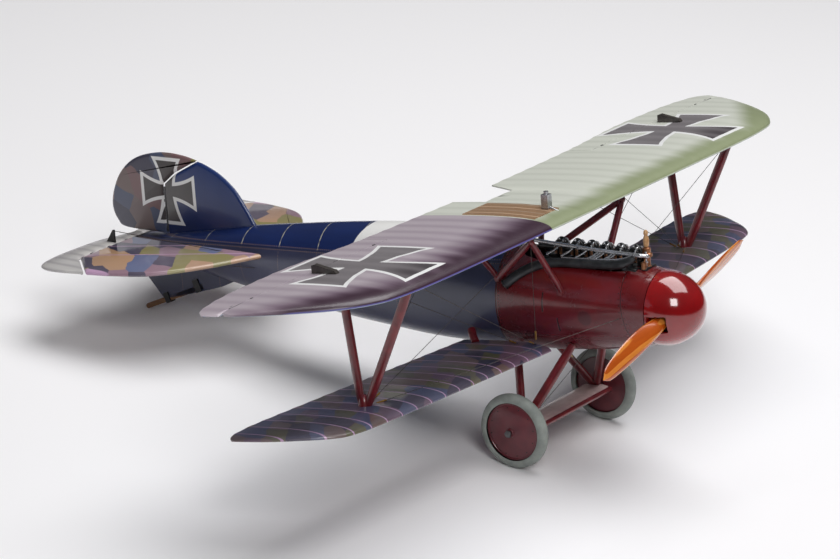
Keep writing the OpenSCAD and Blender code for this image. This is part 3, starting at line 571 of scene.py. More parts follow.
def make_materials():
    MATERIALS.update(
        upper=upper_fabric(),
        # The lower wings take the darkened lozenge colours, painted shade under the upper wing.
        lower=lozenge_fabric("lower_lozenge", lambda s: s.x, lambda s: s.y, wing_tapes, LOZENGE_SHADED, 6.4),
        tail=lozenge_fabric("tail_lozenge", lambda s: s.x, lambda s: s.y, tail_tapes, LOZENGE, 7.6),
        rudder=rudder_fabric(),
        fin=fin_skin(),
        elevator=elevator_fabric(),
        body=body_fabric(),
        cowl=red_cowl(),
        blade=laminated_wood(),
        skid=skid_wood(),
        tyre=tyre_rubber(),
        core=radiator_core(),
        spinner=plain("spinner_red", rgb(150, 14, 18), rgb(122, 8, 14), 14, 0.14, 0.04, 0.001,
                      coat=1.0, coat_rough=0.03),
        maroon=plain("maroon_paint", rgb(122, 30, 36), rgb(88, 20, 28), 3, 0.3, coat=0.4),
        disc=plain("disc_paint", rgb(104, 36, 44), rgb(82, 26, 36), 4, 0.36, coat=0.3),
        board=plain("fairing_paint", rgb(198, 176, 172), rgb(168, 142, 142), 4, 0.36, coat=0.3),
        black=plain("black_metal", rgb(38, 37, 38), rgb(20, 20, 22), 2, 0.34, metal=0.2, coat=0.3),
        fairing=plain("dark_fairing", rgb(70, 64, 60), rgb(44, 40, 38), 1.5, 0.36, coat=0.3),
        exhaust=plain("exhaust_black", rgb(70, 72, 74), rgb(38, 39, 42), 3, 0.36, metal=0.5),
        silver=plain("silver_metal", rgb(200, 201, 204), rgb(164, 166, 170), 1.5, 0.26, metal=0.85),
        bronze=plain("bronze", rgb(176, 126, 92), rgb(128, 82, 56), 1.5, 0.32, metal=0.8),
        tan=plain("tan_cap", rgb(204, 160, 112), rgb(168, 122, 76), 1, 0.4, coat=0.3),
        steel=plain("steel", rgb(120, 120, 122), rgb(84, 84, 86), 1.5, 0.32, metal=0.8),
        brass=plain("brass", rgb(178, 140, 76), rgb(128, 92, 44), 1.2, 0.3, metal=0.75),
        leather=plain("leather", rgb(164, 92, 56), rgb(116, 60, 36), 1.2, 0.45, bump_mm=0.04, coat=0.3),
        raw_wood=plain("raw_wood", rgb(188, 150, 100), rgb(150, 112, 70), 3, 0.6),
        wire=plain("wire", rgb(84, 78, 74), rgb(58, 52, 50), 1, 0.4, metal=0.5),
        celluloid=plain("celluloid", rgb(214, 222, 226), rgb(196, 206, 212), 5, 0.1, 0.04))


# ---------------------------------------------------------------- mesh helpers
def add(name, verts, faces, body, material, slot, replaces=(), sharp=35, tied=True):
    """A piece from flight-frame millimetres, placed in the world and tied to its body."""
    mesh = bpy.data.meshes.new(name)
    mesh.from_pydata([TO_WORLD @ Vector(v) for v in verts], [], faces)
    mesh.validate()
    work = bmesh.new()
    work.from_mesh(mesh)
    bmesh.ops.remove_doubles(work, verts=work.verts, dist=1e-7)
    bmesh.ops.recalc_face_normals(work, faces=work.faces)
    for f in work.faces:
        f.smooth = True
    for e in work.edges:
        if len(e.link_faces) == 2 and e.calc_face_angle(0) > math.radians(sharp):
            e.smooth = False
    work.to_mesh(mesh)
    work.free()
    mesh.materials.append(MATERIALS[material])
    obj = bpy.data.objects.new(name, mesh)
    bpy.context.scene.collection.objects.link(obj)
    if tied:
        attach(obj, body)
    if replaces:
        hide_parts(*replaces)
    return obj


def joined(parts):
    """Several (verts, faces) lists as one."""
    verts, faces = [], []
    for v, f in parts:
        start = len(verts)
        verts += list(v)
        faces += [tuple(i + start for i in face) for face in f]
    return verts, faces


def mirrored(part):
    verts, faces = part
    return [(v[0], -v[1], v[2]) for v in verts], [tuple(reversed(f)) for f in faces]


def skin(rings, closed=True, caps=True):
    """Faces over a row of rings with equal numbers of points."""
    n = len(rings[0])
    verts = [tuple(p) for ring in rings for p in ring]
    faces = []
    for i in range(len(rings) - 1):
        for j in range(n if closed else n - 1):
            a, b = i * n + j, i * n + (j + 1) % n
            faces.append((a, b, b + n, a + n))
    if caps:
        faces.append(tuple(range(n - 1, -1, -1)))
        last = (len(rings) - 1) * n
        faces.append(tuple(range(last, last + n)))
    return verts, faces


def turned(profile, place, axis, steps=64):
    """A body of revolution from (radius, height) pairs about an axis through place."""
    axis = Vector(axis).normalized()
    side = axis.orthogonal().normalized()
    other = axis.cross(side)
    place = Vector(place)
    rings = []
    for k in range(steps):
        a = 2 * math.pi * k / steps
        out = side * math.cos(a) + other * math.sin(a)
        rings.append([place + out * r + axis * h for r, h in profile])
    rings.append(rings[0])
    return skin(rings, closed=False, caps=False)


def tube(points, radius, sides=12, ends=True, taper=None):
    """A round tube along points, with an optional list of radii."""
    points = [Vector(p) for p in points]
    rings = []
    across = None
    for i, p in enumerate(points):
        way = (points[min(i + 1, len(points) - 1)] - points[max(i - 1, 0)]).normalized()
        across = way.orthogonal() if across is None else across - way * across.dot(way)
        across.normalize()
        up = way.cross(across)
        r = taper[i] if taper else radius
        rings.append([p + (across * math.cos(a) + up * math.sin(a)) * r
                      for a in circle(sides)])
    return skin(rings, caps=ends)


def curve_through(points, steps=8):
    """Catmull-Rom points through a list of points."""
    pts = [Vector(p) for p in points]
    pts = [pts[0] * 2 - pts[1]] + pts + [pts[-1] * 2 - pts[-2]]
    out = []
    for i in range(1, len(pts) - 2):
        a, b, c, d = pts[i - 1:i + 3]
        for k in range(steps):
            t = k / steps
            out.append(0.5 * (2 * b + (c - a) * t + (2 * a - 5 * b + 4 * c - d) * t ** 2
                              + (3 * b - a - 3 * c + d) * t ** 3))
    return out + [pts[-2]]


def block(low, high, bevel=0.15):
    """A box with rounded edges, given by two corners."""
    (x0, y0, z0), (x1, y1, z1) = low, high
    work = bmesh.new()
    bmesh.ops.create_cube(work, size=1)
    for v in work.verts:
        v.co = Vector(((x0 + x1) / 2 + v.co.x * (x1 - x0), (y0 + y1) / 2 + v.co.y * (y1 - y0),
                       (z0 + z1) / 2 + v.co.z * (z1 - z0)))
    bmesh.ops.bevel(work, geom=list(work.edges), offset=bevel, segments=2, affect="EDGES", profile=0.5)
    work.verts.index_update()
    part = [tuple(v.co) for v in work.verts], [tuple(v.index for v in f.verts) for f in work.faces]
    work.free()
    return part


def moved(part, matrix):
    verts, faces = part
    return [tuple(matrix @ Vector(v)) for v in verts], faces


def ball(place, radius, steps=12):
    profile = [(max(radius * math.sin(math.pi * k / steps), 0.0005), -radius * math.cos(math.pi * k / steps))
               for k in range(steps + 1)]
    return turned(profile, place, (0, 0, 1), steps * 2)


def smooth_rows(rows, v):
    """Catmull-Rom value of every column at v, from rows sorted by their first column."""
    if v <= rows[0][0]:
        return rows[0][1:]
    if v >= rows[-1][0]:
        return rows[-1][1:]
    i = max(k for k in range(len(rows) - 1) if rows[k][0] <= v)
    b, c = rows[i], rows[i + 1]
    a, d = rows[max(i - 1, 0)], rows[min(i + 2, len(rows) - 1)]
    span = c[0] - b[0]
    t = (v - b[0]) / span
    out = []
    for k in range(1, len(b)):
        m0 = (c[k] - a[k]) / (c[0] - a[0]) * span
        m1 = (d[k] - b[k]) / (d[0] - b[0]) * span
        out.append((2 * t ** 3 - 3 * t ** 2 + 1) * b[k] + (t ** 3 - 2 * t ** 2 + t) * m0
                   + (3 * t ** 2 - 2 * t ** 3) * c[k] + (t ** 3 - t ** 2) * m1)
    return out


def straight_rows(rows, v):
    i = max([k for k in range(len(rows) - 1) if rows[k][0] <= v] or [0])
    t = max(0, min(1, (v - rows[i][0]) / (rows[i + 1][0] - rows[i][0])))
    return [p + (q - p) * t for p, q in zip(rows[i][1:], rows[i + 1][1:])]


def circle(steps):
    """Evenly spaced angles round a circle."""
    return [2 * math.pi * k / steps for k in range(steps)]


def spread(a, b, n):
    return [a + (b - a) * i / n for i in range(n + 1)]


SIDES = (("left", lambda part: part), ("right", mirrored))


# ---------------------------------------------------------------- wings
UPPER_Z, UPPER_CROWN = 29.4, 2.5
AILERON_X, AILERON_IN = -63.5, 58.0
UPPER_TIP = 141.4
UPPER_LEAD = [(0, -24.3), (60, -24.4), (91, -24.8), (106, -26.2), (113, -28.4), (121.7, -34.6),
              (130, -45.2), (136, -54.9), (139.2, -61.2), (UPPER_TIP, -67.4)]
UPPER_TRAIL = [(11, -71.5), (60, -73), (91, -75.6), (106, -75.6), (113, -75.4), (121.7, -75),
               (130, -73.9), (136, -72.5), (139.2, -71.2), (UPPER_TIP, -68.6)]
LOWER_LEAD = [(12, -37.6), (60, -38), (100, -38.4), (115, -40), (120, -43.6), (125, -50),
              (130, -57.6), (132.6, -63), (134, -66.4)]
LOWER_TRAIL = [(12, -70), (60, -71), (100, -71.8), (115, -72), (120, -71.9), (125, -71.5),
               (130, -70.6), (132.6, -69.4), (134, -67.6)]
LOWER_ROOT_Z, DIHEDRAL, LOWER_CROWN = -14.9, 0.04, 2.7
EDGE_HALF = 0.2


def camber(t):
    return 4 * (math.sqrt(t) - t)


def sag(y):
    """How far the fabric is between two ribs, from 0 on a rib to 1 halfway."""
    return abs(math.sin(math.pi * (y - FIRST_RIB) / RIB_STEP)) ** 0.8


def section(y, z, lead, trail, t, upper, crown):
    chord = lead - trail
    local = crown * chord / 47
    dip = sag(y) * min(1, chord / 30) * math.sin(math.pi * min(1, t * 1.05)) ** 0.6
    trail_in = sag(y) * 0.35 * max(0, t - 0.8) / 0.2
    x = lead - t * chord + trail_in
    if upper:
        return (x, y, z + local * camber(t) + EDGE_HALF * math.sqrt(t) - 0.13 * dip)
    return (x, y, z - 0.28 * local * camber(t) * (1 - 2.2 * t) - EDGE_HALF * math.sqrt(t) + 0.06 * dip)


def wing_ring(y, z, lead, trail, t0, t1, crown, steps=18, hollow=0.0, round_nose=0.0):
    """Section from t0 to t1 of the chord. The cut ends are hollowed or rounded to fit each other."""
    ts = [t0 + (t1 - t0) * (k / steps) ** (2 if t0 == 0 else 1) for k in range(steps + 1)]
    top = [section(y, z, lead, trail, t, True, crown) for t in ts]
    low = [section(y, z, lead, trail, t, False, crown) for t in ts]
    if t0 == 0:
        ring = top[::-1] + low[1:]
    else:
        ring = top[::-1] + low
        if round_nose:
            nose = (top[0][0] + round_nose, y, (top[0][2] + low[0][2]) / 2)
            ring = top[::-1] + [nose] + low
    if hollow:
        ring.append((ring[0][0] + hollow, y, (ring[0][2] + ring[-1][2]) / 2))
    return ring


def stations(start, end, extra=()):
    step = RIB_STEP / 6
    ys = [start + step * k for k in range(int((end - start) / step) + 1)]
    ys = [y for y in ys if y < end - 0.3 and all(abs(y - e) > 0.25 for e in extra)]
    return sorted(set(ys + [start, end] + [e for e in extra if start < e < end]))


def upper_half():
    rings = []
    lead = lambda y: smooth_rows(UPPER_LEAD, y)[0]
    trail = lambda y: smooth_rows(UPPER_TRAIL, y)[0]
    for y in stations(0, AILERON_IN - 0.3, (8, 11)):
        back = straight_rows([(8, -62), (11, -71.5)], y)[0] if y < 11 else trail(y)
        rings.append(wing_ring(y, UPPER_Z, lead(y), back, 0, 1, UPPER_CROWN))
    inner = [r + [((r[0][0] + r[-1][0]) / 2, r[0][1], (r[0][2] + r[-1][2]) / 2)] for r in rings]
    outer = []
    for y in stations(AILERON_IN - 0.25, 138.6):
        cut = (lead(y) - (AILERON_X + 0.25)) / (lead(y) - trail(y))
        outer.append(wing_ring(y, UPPER_Z, lead(y), trail(y), 0, cut, UPPER_CROWN, hollow=0.35))
    return skin(inner + outer)


def aileron_part():
    rings = []
    for y in stations(AILERON_IN, UPPER_TIP - 0.05, (139.2, 140.2, 141)):
        lead = smooth_rows(UPPER_LEAD, y)[0]
        trail = smooth_rows(UPPER_TRAIL, y)[0]
        nose = min(AILERON_X - 0.25, lead - 0.02)
        cut = max((lead - nose) / (lead - trail), 0.002)
        rings.append(wing_ring(y, UPPER_Z, lead, trail, cut, 1, UPPER_CROWN, 10, round_nose=0.3))
    return skin(rings)


def lower_part():
    rings = []
    for y in stations(12, 133.9, (132, 133, 133.6)):
        lead = smooth_rows(LOWER_LEAD, y)[0]
        trail = smooth_rows(LOWER_TRAIL, y)[0]
        rings.append(wing_ring(y, LOWER_ROOT_Z + DIHEDRAL * y, lead, trail, 0, 1, LOWER_CROWN))
    return skin(rings)


def make_wings():
    half = upper_half()
    add("upper_wing_skin", *joined([half, mirrored(half)]), "airframe", "upper", "upper_fabric",
        ["upper_wing"], sharp=50)
    for side, turn in SIDES:
        add(f"aileron_{side}_skin", *turn(aileron_part()), f"{side}_aileron", "upper", "upper_fabric",
            [f"aileron_{side}"], sharp=60)
        add(f"lower_wing_{side}_skin", *turn(lower_part()), "airframe", "lower", "camouflage_fabric",
            [f"lower_wing_{side}"], sharp=60)


# ---------------------------------------------------------------- body
BODY_ROWS = [(6, 11.9, -11.9, 11.8, 0), (12, 12.5, -13.2, 12.7, 0), (25, 13, -15.2, 13.5, 0),
             (40, 13.7, -16.8, 13.9, 0), (56, 15.4, -17.6, 13.9, 0), (70, 17.2, -17.8, 13.6, 0),
             (86, 18.3, -17.6, 13.1, 0), (100, 17.9, -16.6, 12.4, 0.4), (119, 16.1, -14.9, 11.4, 1),
             (139, 13.7, -12.6, 10.3, 1.6), (159, 11.1, -9.8, 9.2, 2.2), (178, 8, -6.2, 8, 2.9),
             (194, 5.4, -1.6, 6.9, 3.4), (204.4, 4.2, 2.9, 6.1, 3.6)]
SEAM = 56
SKIN = 0.6


def body_point(s, a, inset=0.0):
    top, low, half, mid = smooth_rows(BODY_ROWS, s)
    reach = (top - mid if a > 0 else mid - low) - inset
    return (-s, max(half - inset, 0.1) * math.cos(a), mid + max(reach, 0.1) * math.sin(a))


ENGINE_MID, ENGINE_HALF = 32.3, 20.7
COCKPIT_MID, COCKPIT_HALF, COCKPIT_SIDE = 72.2, 10.4, 8.1


def engine_hole(s):
    t = abs(s - ENGINE_MID) / ENGINE_HALF
    return 6.3 * (1 - t ** 5) ** 0.3 if t < 1 else 0


def cockpit_hole(s):
    t = abs(s - COCKPIT_MID) / COCKPIT_HALF
    return COCKPIT_SIDE * math.sqrt(1 - t * t) if t < 1 else 0


def shell_half(stations_s, hole):
    rings = []
    steps = 36
    for s in stations_s:
        half = smooth_rows(BODY_ROWS, s)[2]
        edge = math.acos(min(1, hole(s) / half))
        angles = [-math.pi / 2 + (edge + math.pi / 2) * i / steps for i in range(steps + 1)]
        rings.append([body_point(s, a) for a in angles] + [body_point(s, a, SKIN) for a in reversed(angles)])
    verts, faces = skin(rings, caps=False)
    n = 2 * (steps + 1)
    last = (len(rings) - 1) * n
    for base, order in ((0, 1), (last, -1)):
        for j in range(steps):
            faces.append(tuple([base + j, base + j + 1, base + n - 2 - j, base + n - 1 - j][::order]))
    return verts, faces


def hole_stations(start, end, low, high, count=26):
    """Stations that crowd together where the opening begins and ends."""
    middle, half = (low + high) / 2, (high - low) / 2
    inside = [middle - half * math.cos(math.pi * k / count) for k in range(count + 1)]
    before = spread(start, low, max(1, int((low - start) / 1.5)))[:-1]
    after = spread(high, end, max(1, int((end - high) / 3)))[1:]
    return before + inside + after


def make_body():
    front = shell_half(hole_stations(6, SEAM - 0.02, 11.6, 53), engine_hole)
    rear = shell_half(hole_stations(SEAM + 0.02, 204.4, 61.8, 82.6), cockpit_hole)
    for side, turn in SIDES:
        add(f"cowl_{side}_skin", *turn(front), "airframe", "cowl", "red_lacquer", [f"cowl_{side}"], sharp=40)
        add(f"fuselage_{side}_skin", *turn(rear), "airframe", "body", "blue_fuselage",
            [f"fuselage_{side}"], sharp=40)
    rim = []
    for k in range(97):
        a = 2 * math.pi * k / 96
        s = COCKPIT_MID + COCKPIT_HALF * math.cos(a)
        top, _, half, _ = smooth_rows(BODY_ROWS, s)
        w = COCKPIT_SIDE * math.sin(a)
        rim.append((-s, w, top * math.sqrt(1 - (w / half) ** 2) + 0.25))
    add("cockpit_coaming_roll", *tube(rim, 0.6, 10, ends=False), "airframe", "leather", "leather",
        ["cockpit_coaming"])


# ---------------------------------------------------------------- tail
TAIL_Z = 4


def plate(outline, half_thick, upright=False, level=0.0):
    """A thin surface with a rounded rim: rings of the outline that shrink towards both faces."""
    count = len(outline)
    rim = [(0.0, 0.0), (0.18, 0.45), (0.5, 0.75), (1.1, 1.0)]
    inner = []
    for inset, height in rim:
        ring = []
        for i in range(count):
            a, b, c = (Vector(outline[(i + k) % count]) for k in (-1, 0, 1))
            d1, d2 = (b - a).normalized(), (c - b).normalized()
            normal = Vector((-(d1 + d2).y, (d1 + d2).x)).normalized()
            ring.append((b + normal * inset, height * half_thick))
        inner.append(ring)
    rings = [[(p, -h) for p, h in ring] for ring in reversed(inner)] + [[(p, h) for p, h in ring]
                                                                      for ring in inner[1:]]
    if upright:
        rings = [[(p.x, h, p.y) for p, h in ring] for ring in rings]
    else:
        rings = [[(p.x, p.y, level + h) for p, h in ring] for ring in rings]
    return skin(rings)


def outline_curve(points, steps=5, corners=()):
    """Smooth outline through points, with straight joints at the corners listed by index."""
    out = []
    n = len(points)
    for i in range(n):
        b, c = Vector(points[i]), Vector(points[(i + 1) % n])
        a = b if i in corners else Vector(points[i - 1])
        d = c if (i + 1) % n in corners else Vector(points[(i + 2) % n])
        m0 = (c - b) if i in corners else (c - a) / 2
        m1 = (c - b) if (i + 1) % n in corners else (d - b) / 2
        if i in corners and (i + 1) % n in corners:
            out.append(b)
            continue
        for k in range(steps):
            t = k / steps
            out.append(b * (2 * t ** 3 - 3 * t ** 2 + 1) + m0 * (t ** 3 - 2 * t ** 2 + t)
                       + c * (3 * t ** 2 - 2 * t ** 3) + m1 * (t ** 3 - t ** 2))
    return out


FIN = [(-157, 10.8), (-161, 17.3), (-164.9, 22.7), (-170.6, 27.3), (-176.6, 30.1), (-179.6, 30.95),
       (-189.5, 25.9), (-194.1, 22.3), (-193.9, 4.4), (-178, 7)]
RUDDER = [(-194.9, 5.4), (-194.9, 22.1), (-189.8, 26.2), (-179.9, 31.3), (-184.7, 32.4), (-190.9, 33),
          (-196.7, 32.7), (-203.8, 31), (-209.2, 28.1), (-213.6, 23.6), (-216.6, 17.4), (-217.3, 12.4),
          (-215.6, 8.2), (-211.8, 5.8)]
TAILPLANE = [(-148, 8.2), (-150.4, 12), (-158.5, 26.5), (-169.9, 39.7), (-183.4, 44.8), (-192.2, 46.35),
             (-204.8, 33.4), (-204.8, 6), (-190, 7)]
ELEVATOR = [(-205.5, 6.4), (-205.5, 33.5), (-192.8, 46.6), (-201.6, 47.9), (-208.4, 47.5),
            (-212.6, 44), (-214.4, 36), (-214.6, 24), (-213.7, 13.5), (-211.4, 6.6), (-209.9, 1.2),
            (-209.9, -1.2), (-211.4, -6.6), (-213.7, -13.5), (-214.6, -24), (-214.4, -36),
            (-212.6, -44), (-208.4, -47.5), (-201.6, -47.9), (-192.8, -46.6), (-205.5, -33.5),
            (-205.5, -6.4)]
VENTRAL = [(-168, -8.2), (-184, -12.9), (-197.9, -16.4), (-203.8, -9.4), (-204.3, 2.4), (-188, -3.4)]


def make_tail():
    add("fin_skin", *plate(outline_curve(FIN, 5, (0, 5, 6, 7, 8, 9)), 0.85, True), "airframe", "fin",
        "blue_fuselage", ["fin"])
    add("rudder_skin", *plate(outline_curve(RUDDER, 5, (0, 1, 2, 3)), 0.8, True), "rudder_assembly",
        "rudder", "camouflage_fabric", ["rudder"])
    for side, turn in SIDES:
        half = plate(outline_curve(TAILPLANE, 6, (0, 5, 6, 7, 8)), 0.85, level=TAIL_Z)
        add(f"tailplane_{side}_skin", *turn(half), "airframe", "tail", "camouflage_fabric",
            [f"tailplane_{side}"])
    add("elevator_skin", *plate(outline_curve(ELEVATOR, 5, (0, 1, 2, 19, 20, 21)), 0.72, level=TAIL_Z),
        "elevator_assembly", "elevator", "camouflage_fabric", ["elevator"])
    add("ventral_fin_skin", *plate(outline_curve(VENTRAL, 3, (0, 2, 3, 4, 5)), 0.8, True), "airframe",
        "body", "blue_fuselage", ["ventral_fin"])


# ---------------------------------------------------------------- struts and undercarriage
STRUT_Y = 92
AXLE = (-43.6, -36.5)            # X and Z of the wheels' axle


def strut(a, b, chord, thick, steps=10, end_taper=0.72):
    """A streamlined strut that thins towards its ends."""
    a, b = Vector(a), Vector(b)
    along = (b - a).normalized()
    side = Vector((0, 1, 0))
    side = (side - along * side.dot(along)).normalized()
    fore = side.cross(along)
    rings = []
    for i in range(steps + 1):
        t = i / steps
        k = end_taper + (1 - end_taper) * min(1, 5 * min(t, 1 - t)) ** 0.5
        centre = a + (b - a) * t
        rings.append([centre + fore * (chord / 2 * k * math.cos(u)) + side * (thick / 2 * math.sin(u)
                      * (1 + 0.25 * math.cos(u))) for u in circle(20)])
    return skin(rings)


def lower_z(y):
    return LOWER_ROOT_Z + DIHEDRAL * y


def make_struts():
    foot = (-51, STRUT_Y, lower_z(STRUT_Y) + 0.8)
    vee = joined([strut((foot[0] + 0.8, foot[1], foot[2]), (-31.2, STRUT_Y, 30), 3, 1.8),
                  strut((foot[0] - 0.8, foot[1], foot[2]), (-56.4, STRUT_Y, 29.8), 3, 1.8),
                  turned([(0.01, -0.4), (1.9, -0.4), (1.9, 0.9), (1.5, 2.4), (0.9, 4.2), (0.01, 4.6)],
                         foot, (0, 0, 1), 32)])
    apex, top_front, top_rear = (-33.3, 26.3, 24.5), (-33.6, 27.8, 29.3), (-63, 27, 29.5)
    low_front, low_rear = (-32.4, 12.4, 5.2), (-55.4, 12.2, 7.2)
    cabane = joined([strut(low_front, apex, 2.4, 1.5), strut(low_rear, apex, 2.2, 1.4),
                     strut(low_rear, top_rear, 2.2, 1.4), tube([apex, top_front], 0.95, 16),
                     ball(apex, 1.15, 8), tube([(-32.5, 11.6, 4.7), (-32.4, 13.4, 5.0)], 0.9, 16),
                     tube([(-55.4, 11.2, 6.9), (-55.4, 13.2, 7.2)], 0.9, 16)])
    gear_foot = (AXLE[0], 21.3, AXLE[1])
    gear = joined([strut(gear_foot, (-31.4, 9.4, -12.4), 3, 1.8), strut(gear_foot, (-52.4, 8.6, -15.6), 3, 1.8),
                   turned([(0.8, -1), (1.9, -1), (2.1, -0.6), (2.1, 0.6), (1.9, 1), (0.8, 1)],
                          gear_foot, (0, 1, 0), 40)])
    for side, turn in SIDES:
        for name, part in (("interplane", vee), ("cabane", cabane), ("gear", gear)):
            add(f"{name}_{side}_strut", *turn(part), "airframe", "maroon", "maroon_paint",
                [f"{name}_{side}"], sharp=60)


def make_wheels():
    centre_y, (axle_x, axle_z) = 25.9, AXLE
    tyre_r, bead_r, rim_r = 11.85, 1.9, 9.3
    tyre = [(tyre_r - bead_r + bead_r * math.cos(a), bead_r * math.sin(a))
            for a in (math.radians(-112 + 224 * k / 22) for k in range(23))]
    tyre = [(max(r, rim_r - 0.35), h) for r, h in tyre]
    disc = [(0.85, 3.0), (1.2, 3.0), (1.45, 2.8), (1.5, 2.45), (2.2, 2.3), (5, 1.85), (8.3, 1.32),
            (8.5, 1.22), (8.62, 1.36), (9.0, 1.3), (9.2, 1.1), (9.25, 0), (9.2, -1.1), (8.6, -1.3),
            (2.2, -1.5), (1.5, -1.6), (0.85, -1.6)]
    for side, sign in (("left", 1), ("right", -1)):
        place = (axle_x, sign * centre_y, axle_z)
        axis = (0, sign, 0)
        screws = []
        for k in range(12):
            a = 2 * math.pi * (k + 0.3) / 12
            spot = Vector((axle_x + 7.7 * math.cos(a), sign * (centre_y + 1.42),
                           axle_z + 7.7 * math.sin(a)))
            screws.append(turned([(0.01, 0.12), (0.16, 0.1), (0.22, 0.0), (0.22, -0.1)], spot, axis, 12))
        add(f"wheel_{side}_disc", *turned(disc, place, axis, 96), f"{side}_wheel", "disc",
            "maroon_paint", [f"wheel_{side}"], sharp=28)
        rim = turned([(9.22, 1.5), (9.5, 1.42), (9.5, 0.9), (9.1, 0.9)], place, axis, 96)
        add(f"wheel_{side}_rim", *rim, f"{side}_wheel", "black", "black_metal", sharp=60)
        add(f"wheel_{side}_screws", *joined(screws), f"{side}_wheel", "black", "maroon_paint", sharp=28)
        add(f"tyre_{side}_tread", *turned(tyre, place, axis, 96), f"{side}_wheel", "tyre", "tyre_rubber",
            [f"tyre_{side}"], sharp=60)
    paint("axle", "steel")
    board = [(5.2 * math.cos(a) + 0.5, 1.35 * math.sin(a) * (1 + 0.3 * math.cos(a)))
             for a in circle(48)]
    reach = centre_y - 5
    add("axle_board", *skin([[(axle_x + x, y, axle_z + z) for x, z in board]
                             for y in spread(-reach, reach, 24)]),
        "airframe", "board", "maroon_paint", ["axle_fairing"], sharp=50)
    front = [(axle_x + 5.4, y, axle_z + 0.1) for y in spread(-reach, reach, 8)]
    add("axle_front_tube", *tube(front, 0.85, 16), "airframe", "maroon", "maroon_paint")


# ---------------------------------------------------------------- propeller and spinner
BLADE_ROWS = [(6, 1.9, 1.9, 52, 3.2), (10, 2.2, 2.4, 42, 2.6), (16, 2.5, 3.2, 32, 2),
              (23, 2.6, 3.7, 25, 1.6), (30, 2.5, 3.6, 20, 1.3), (37, 2.1, 3, 17, 1),
              (41.5, 1.5, 2, 15, 0.8), (43.8, 0.3, 0.4, 14, 0.4)]


def blade():
    rings = []
    for k in range(60):
        r = 5 + (43.75 - 5) * (1 - (1 - k / 59) ** 1.35)
        front, back, twist, thick = smooth_rows(BLADE_ROWS, max(r, 6))
        tip = min(1, max(0.0, (43.85 - r) / 2.6)) ** 0.5
        twist = math.radians(twist)
        ring = []
        for i in range(24):
            a = -2 * math.pi * i / 24
            u = (front if math.cos(a) > 0 else back) * math.cos(a) * (0.25 + 0.75 * tip)
            v = thick / 2 * math.sin(a) * (1.15 if math.sin(a) > 0 else 0.6) * (0.5 + 0.5 * tip)
            ring.append((v * math.cos(twist) + u * math.sin(twist), r,
                         u * math.cos(twist) - v * math.sin(twist)))
        rings.append(ring)
    return skin(rings)


def apply_modifiers(obj):
    """Keeps the shape that the modifiers make, as the piece's own mesh."""
    bpy.context.view_layer.update()
    made = bpy.data.meshes.new_from_object(obj.evaluated_get(bpy.context.evaluated_depsgraph_get()))
    obj.modifiers.clear()
    obj.data = made


def make_badges():
    """A plain ring on each blade."""
    for letter, turn in (("a", 0), ("b", math.pi)):
        ring = turned([(0.01, 0.06), (0.75, 0.05), (0.8, 0.0), (1.0, 0.0), (1.02, 0.06), (1.18, 0.05),
                       (1.2, -0.1)], (0.75, 17.5, 0.5), (0.86, 0, -0.5), 32)
        add(f"blade_badge_{letter}", *moved(ring, Matrix.Rotation(PARK + turn, 4, "X")),
            "propeller_assembly", "silver", "silver_metal")


SPINNER_R, SPINNER_FRONT, SPINNER_BACK, SPINNER_WALL = 11.5, 9.6, -3.4, 0.8


def make_spinner():
    """A half ellipse turned about the shaft, hollow, with a slot for each blade."""
    park = Matrix.Rotation(PARK, 4, "X")
    length = SPINNER_FRONT - SPINNER_BACK
    arc = [(max(SPINNER_R * math.cos(math.radians(a)), 0.002),
            SPINNER_BACK + length * math.sin(math.radians(a))) for a in (1.5 * k for k in range(61))]
    lining = [(max(r - SPINNER_WALL, 0.001), min(h, SPINNER_FRONT - 0.9 - 0.08 * (12 - i / 5)))
              for i, (r, h) in enumerate(arc)]
    turns = circle(96) + [2 * math.pi]
    shell = skin([[Vector((h, r * math.cos(t), r * math.sin(t))) for r, h in arc + lining[::-1]]
                  for t in turns], caps=False)
    spinner = add("spinner_shell", *moved(shell, park), "propeller_assembly", "spinner", "red_lacquer",
                  ["spinner"], sharp=40)
    slot = block((-3.7, 4, -2.8), (2.7, 16, 2.8), 0.6)
    slots = joined([moved(slot, park @ Matrix.Rotation(k, 4, "X")) for k in (0, math.pi)])
    mesh = bpy.data.meshes.new("spinner_cut")
    mesh.from_pydata([TO_WORLD @ Vector(v) for v in slots[0]], [], slots[1])
    cutter = bpy.data.objects.new("spinner_cut", mesh)
    bpy.context.scene.collection.objects.link(cutter)
    boolean = spinner.modifiers.new("slots", "BOOLEAN")
    boolean.operation, boolean.object, boolean.solver = "DIFFERENCE", cutter, "EXACT"
    apply_modifiers(spinner)
    bpy.data.objects.remove(cutter)


def make_propeller():
    hub = turned([(1.6, -2.2), (5.6, -2.2), (6, -1.8), (6, 1.8), (5.6, 2.2), (1.6, 2.2)], (0, 0, 0),
                 (1, 0, 0), 48)
    parts = joined([blade(), moved(blade(), Matrix.Rotation(math.pi, 4, "X")), hub])
    add("propeller_blades", *moved(parts, Matrix.Rotation(PARK, 4, "X")), "propeller_assembly", "blade",
        "laminated_wood", ["propeller"], sharp=50)
    make_badges()
    make_spinner()
    paint("spinner_backplate", "spinner")
    paint("prop_shaft", "steel")
    paint("nose_ring", "cowl")


def paint(node, material):
    """Gives a CAD node that keeps its shape its own finish."""
    obj = frame["nodes"][node]
    obj.data.materials.clear()
    obj.data.materials.append(MATERIALS[material])


# ---------------------------------------------------------------- engine
LOG_PATH = [(-10.4, -5.0, 16.2), (-12, -5.9, 15.1), (-15, -6.6, 14.1), (-22, -6.7, 13.4),
            (-34, -7.1, 12.9), (-40, -8, 12.3), (-44.5, -9.7, 11), (-48.6, -11.8, 8.7), (-52, -13.6, 6)]
RAIL = [(-6.9, -3.7, 16.7), (-8.2, -4.6, 16.9), (-10, -4.9, 17.0), (-22, -5.0, 17.2), (-34, -4.95, 17.7),
        (-46, -4.9, 18.3)]


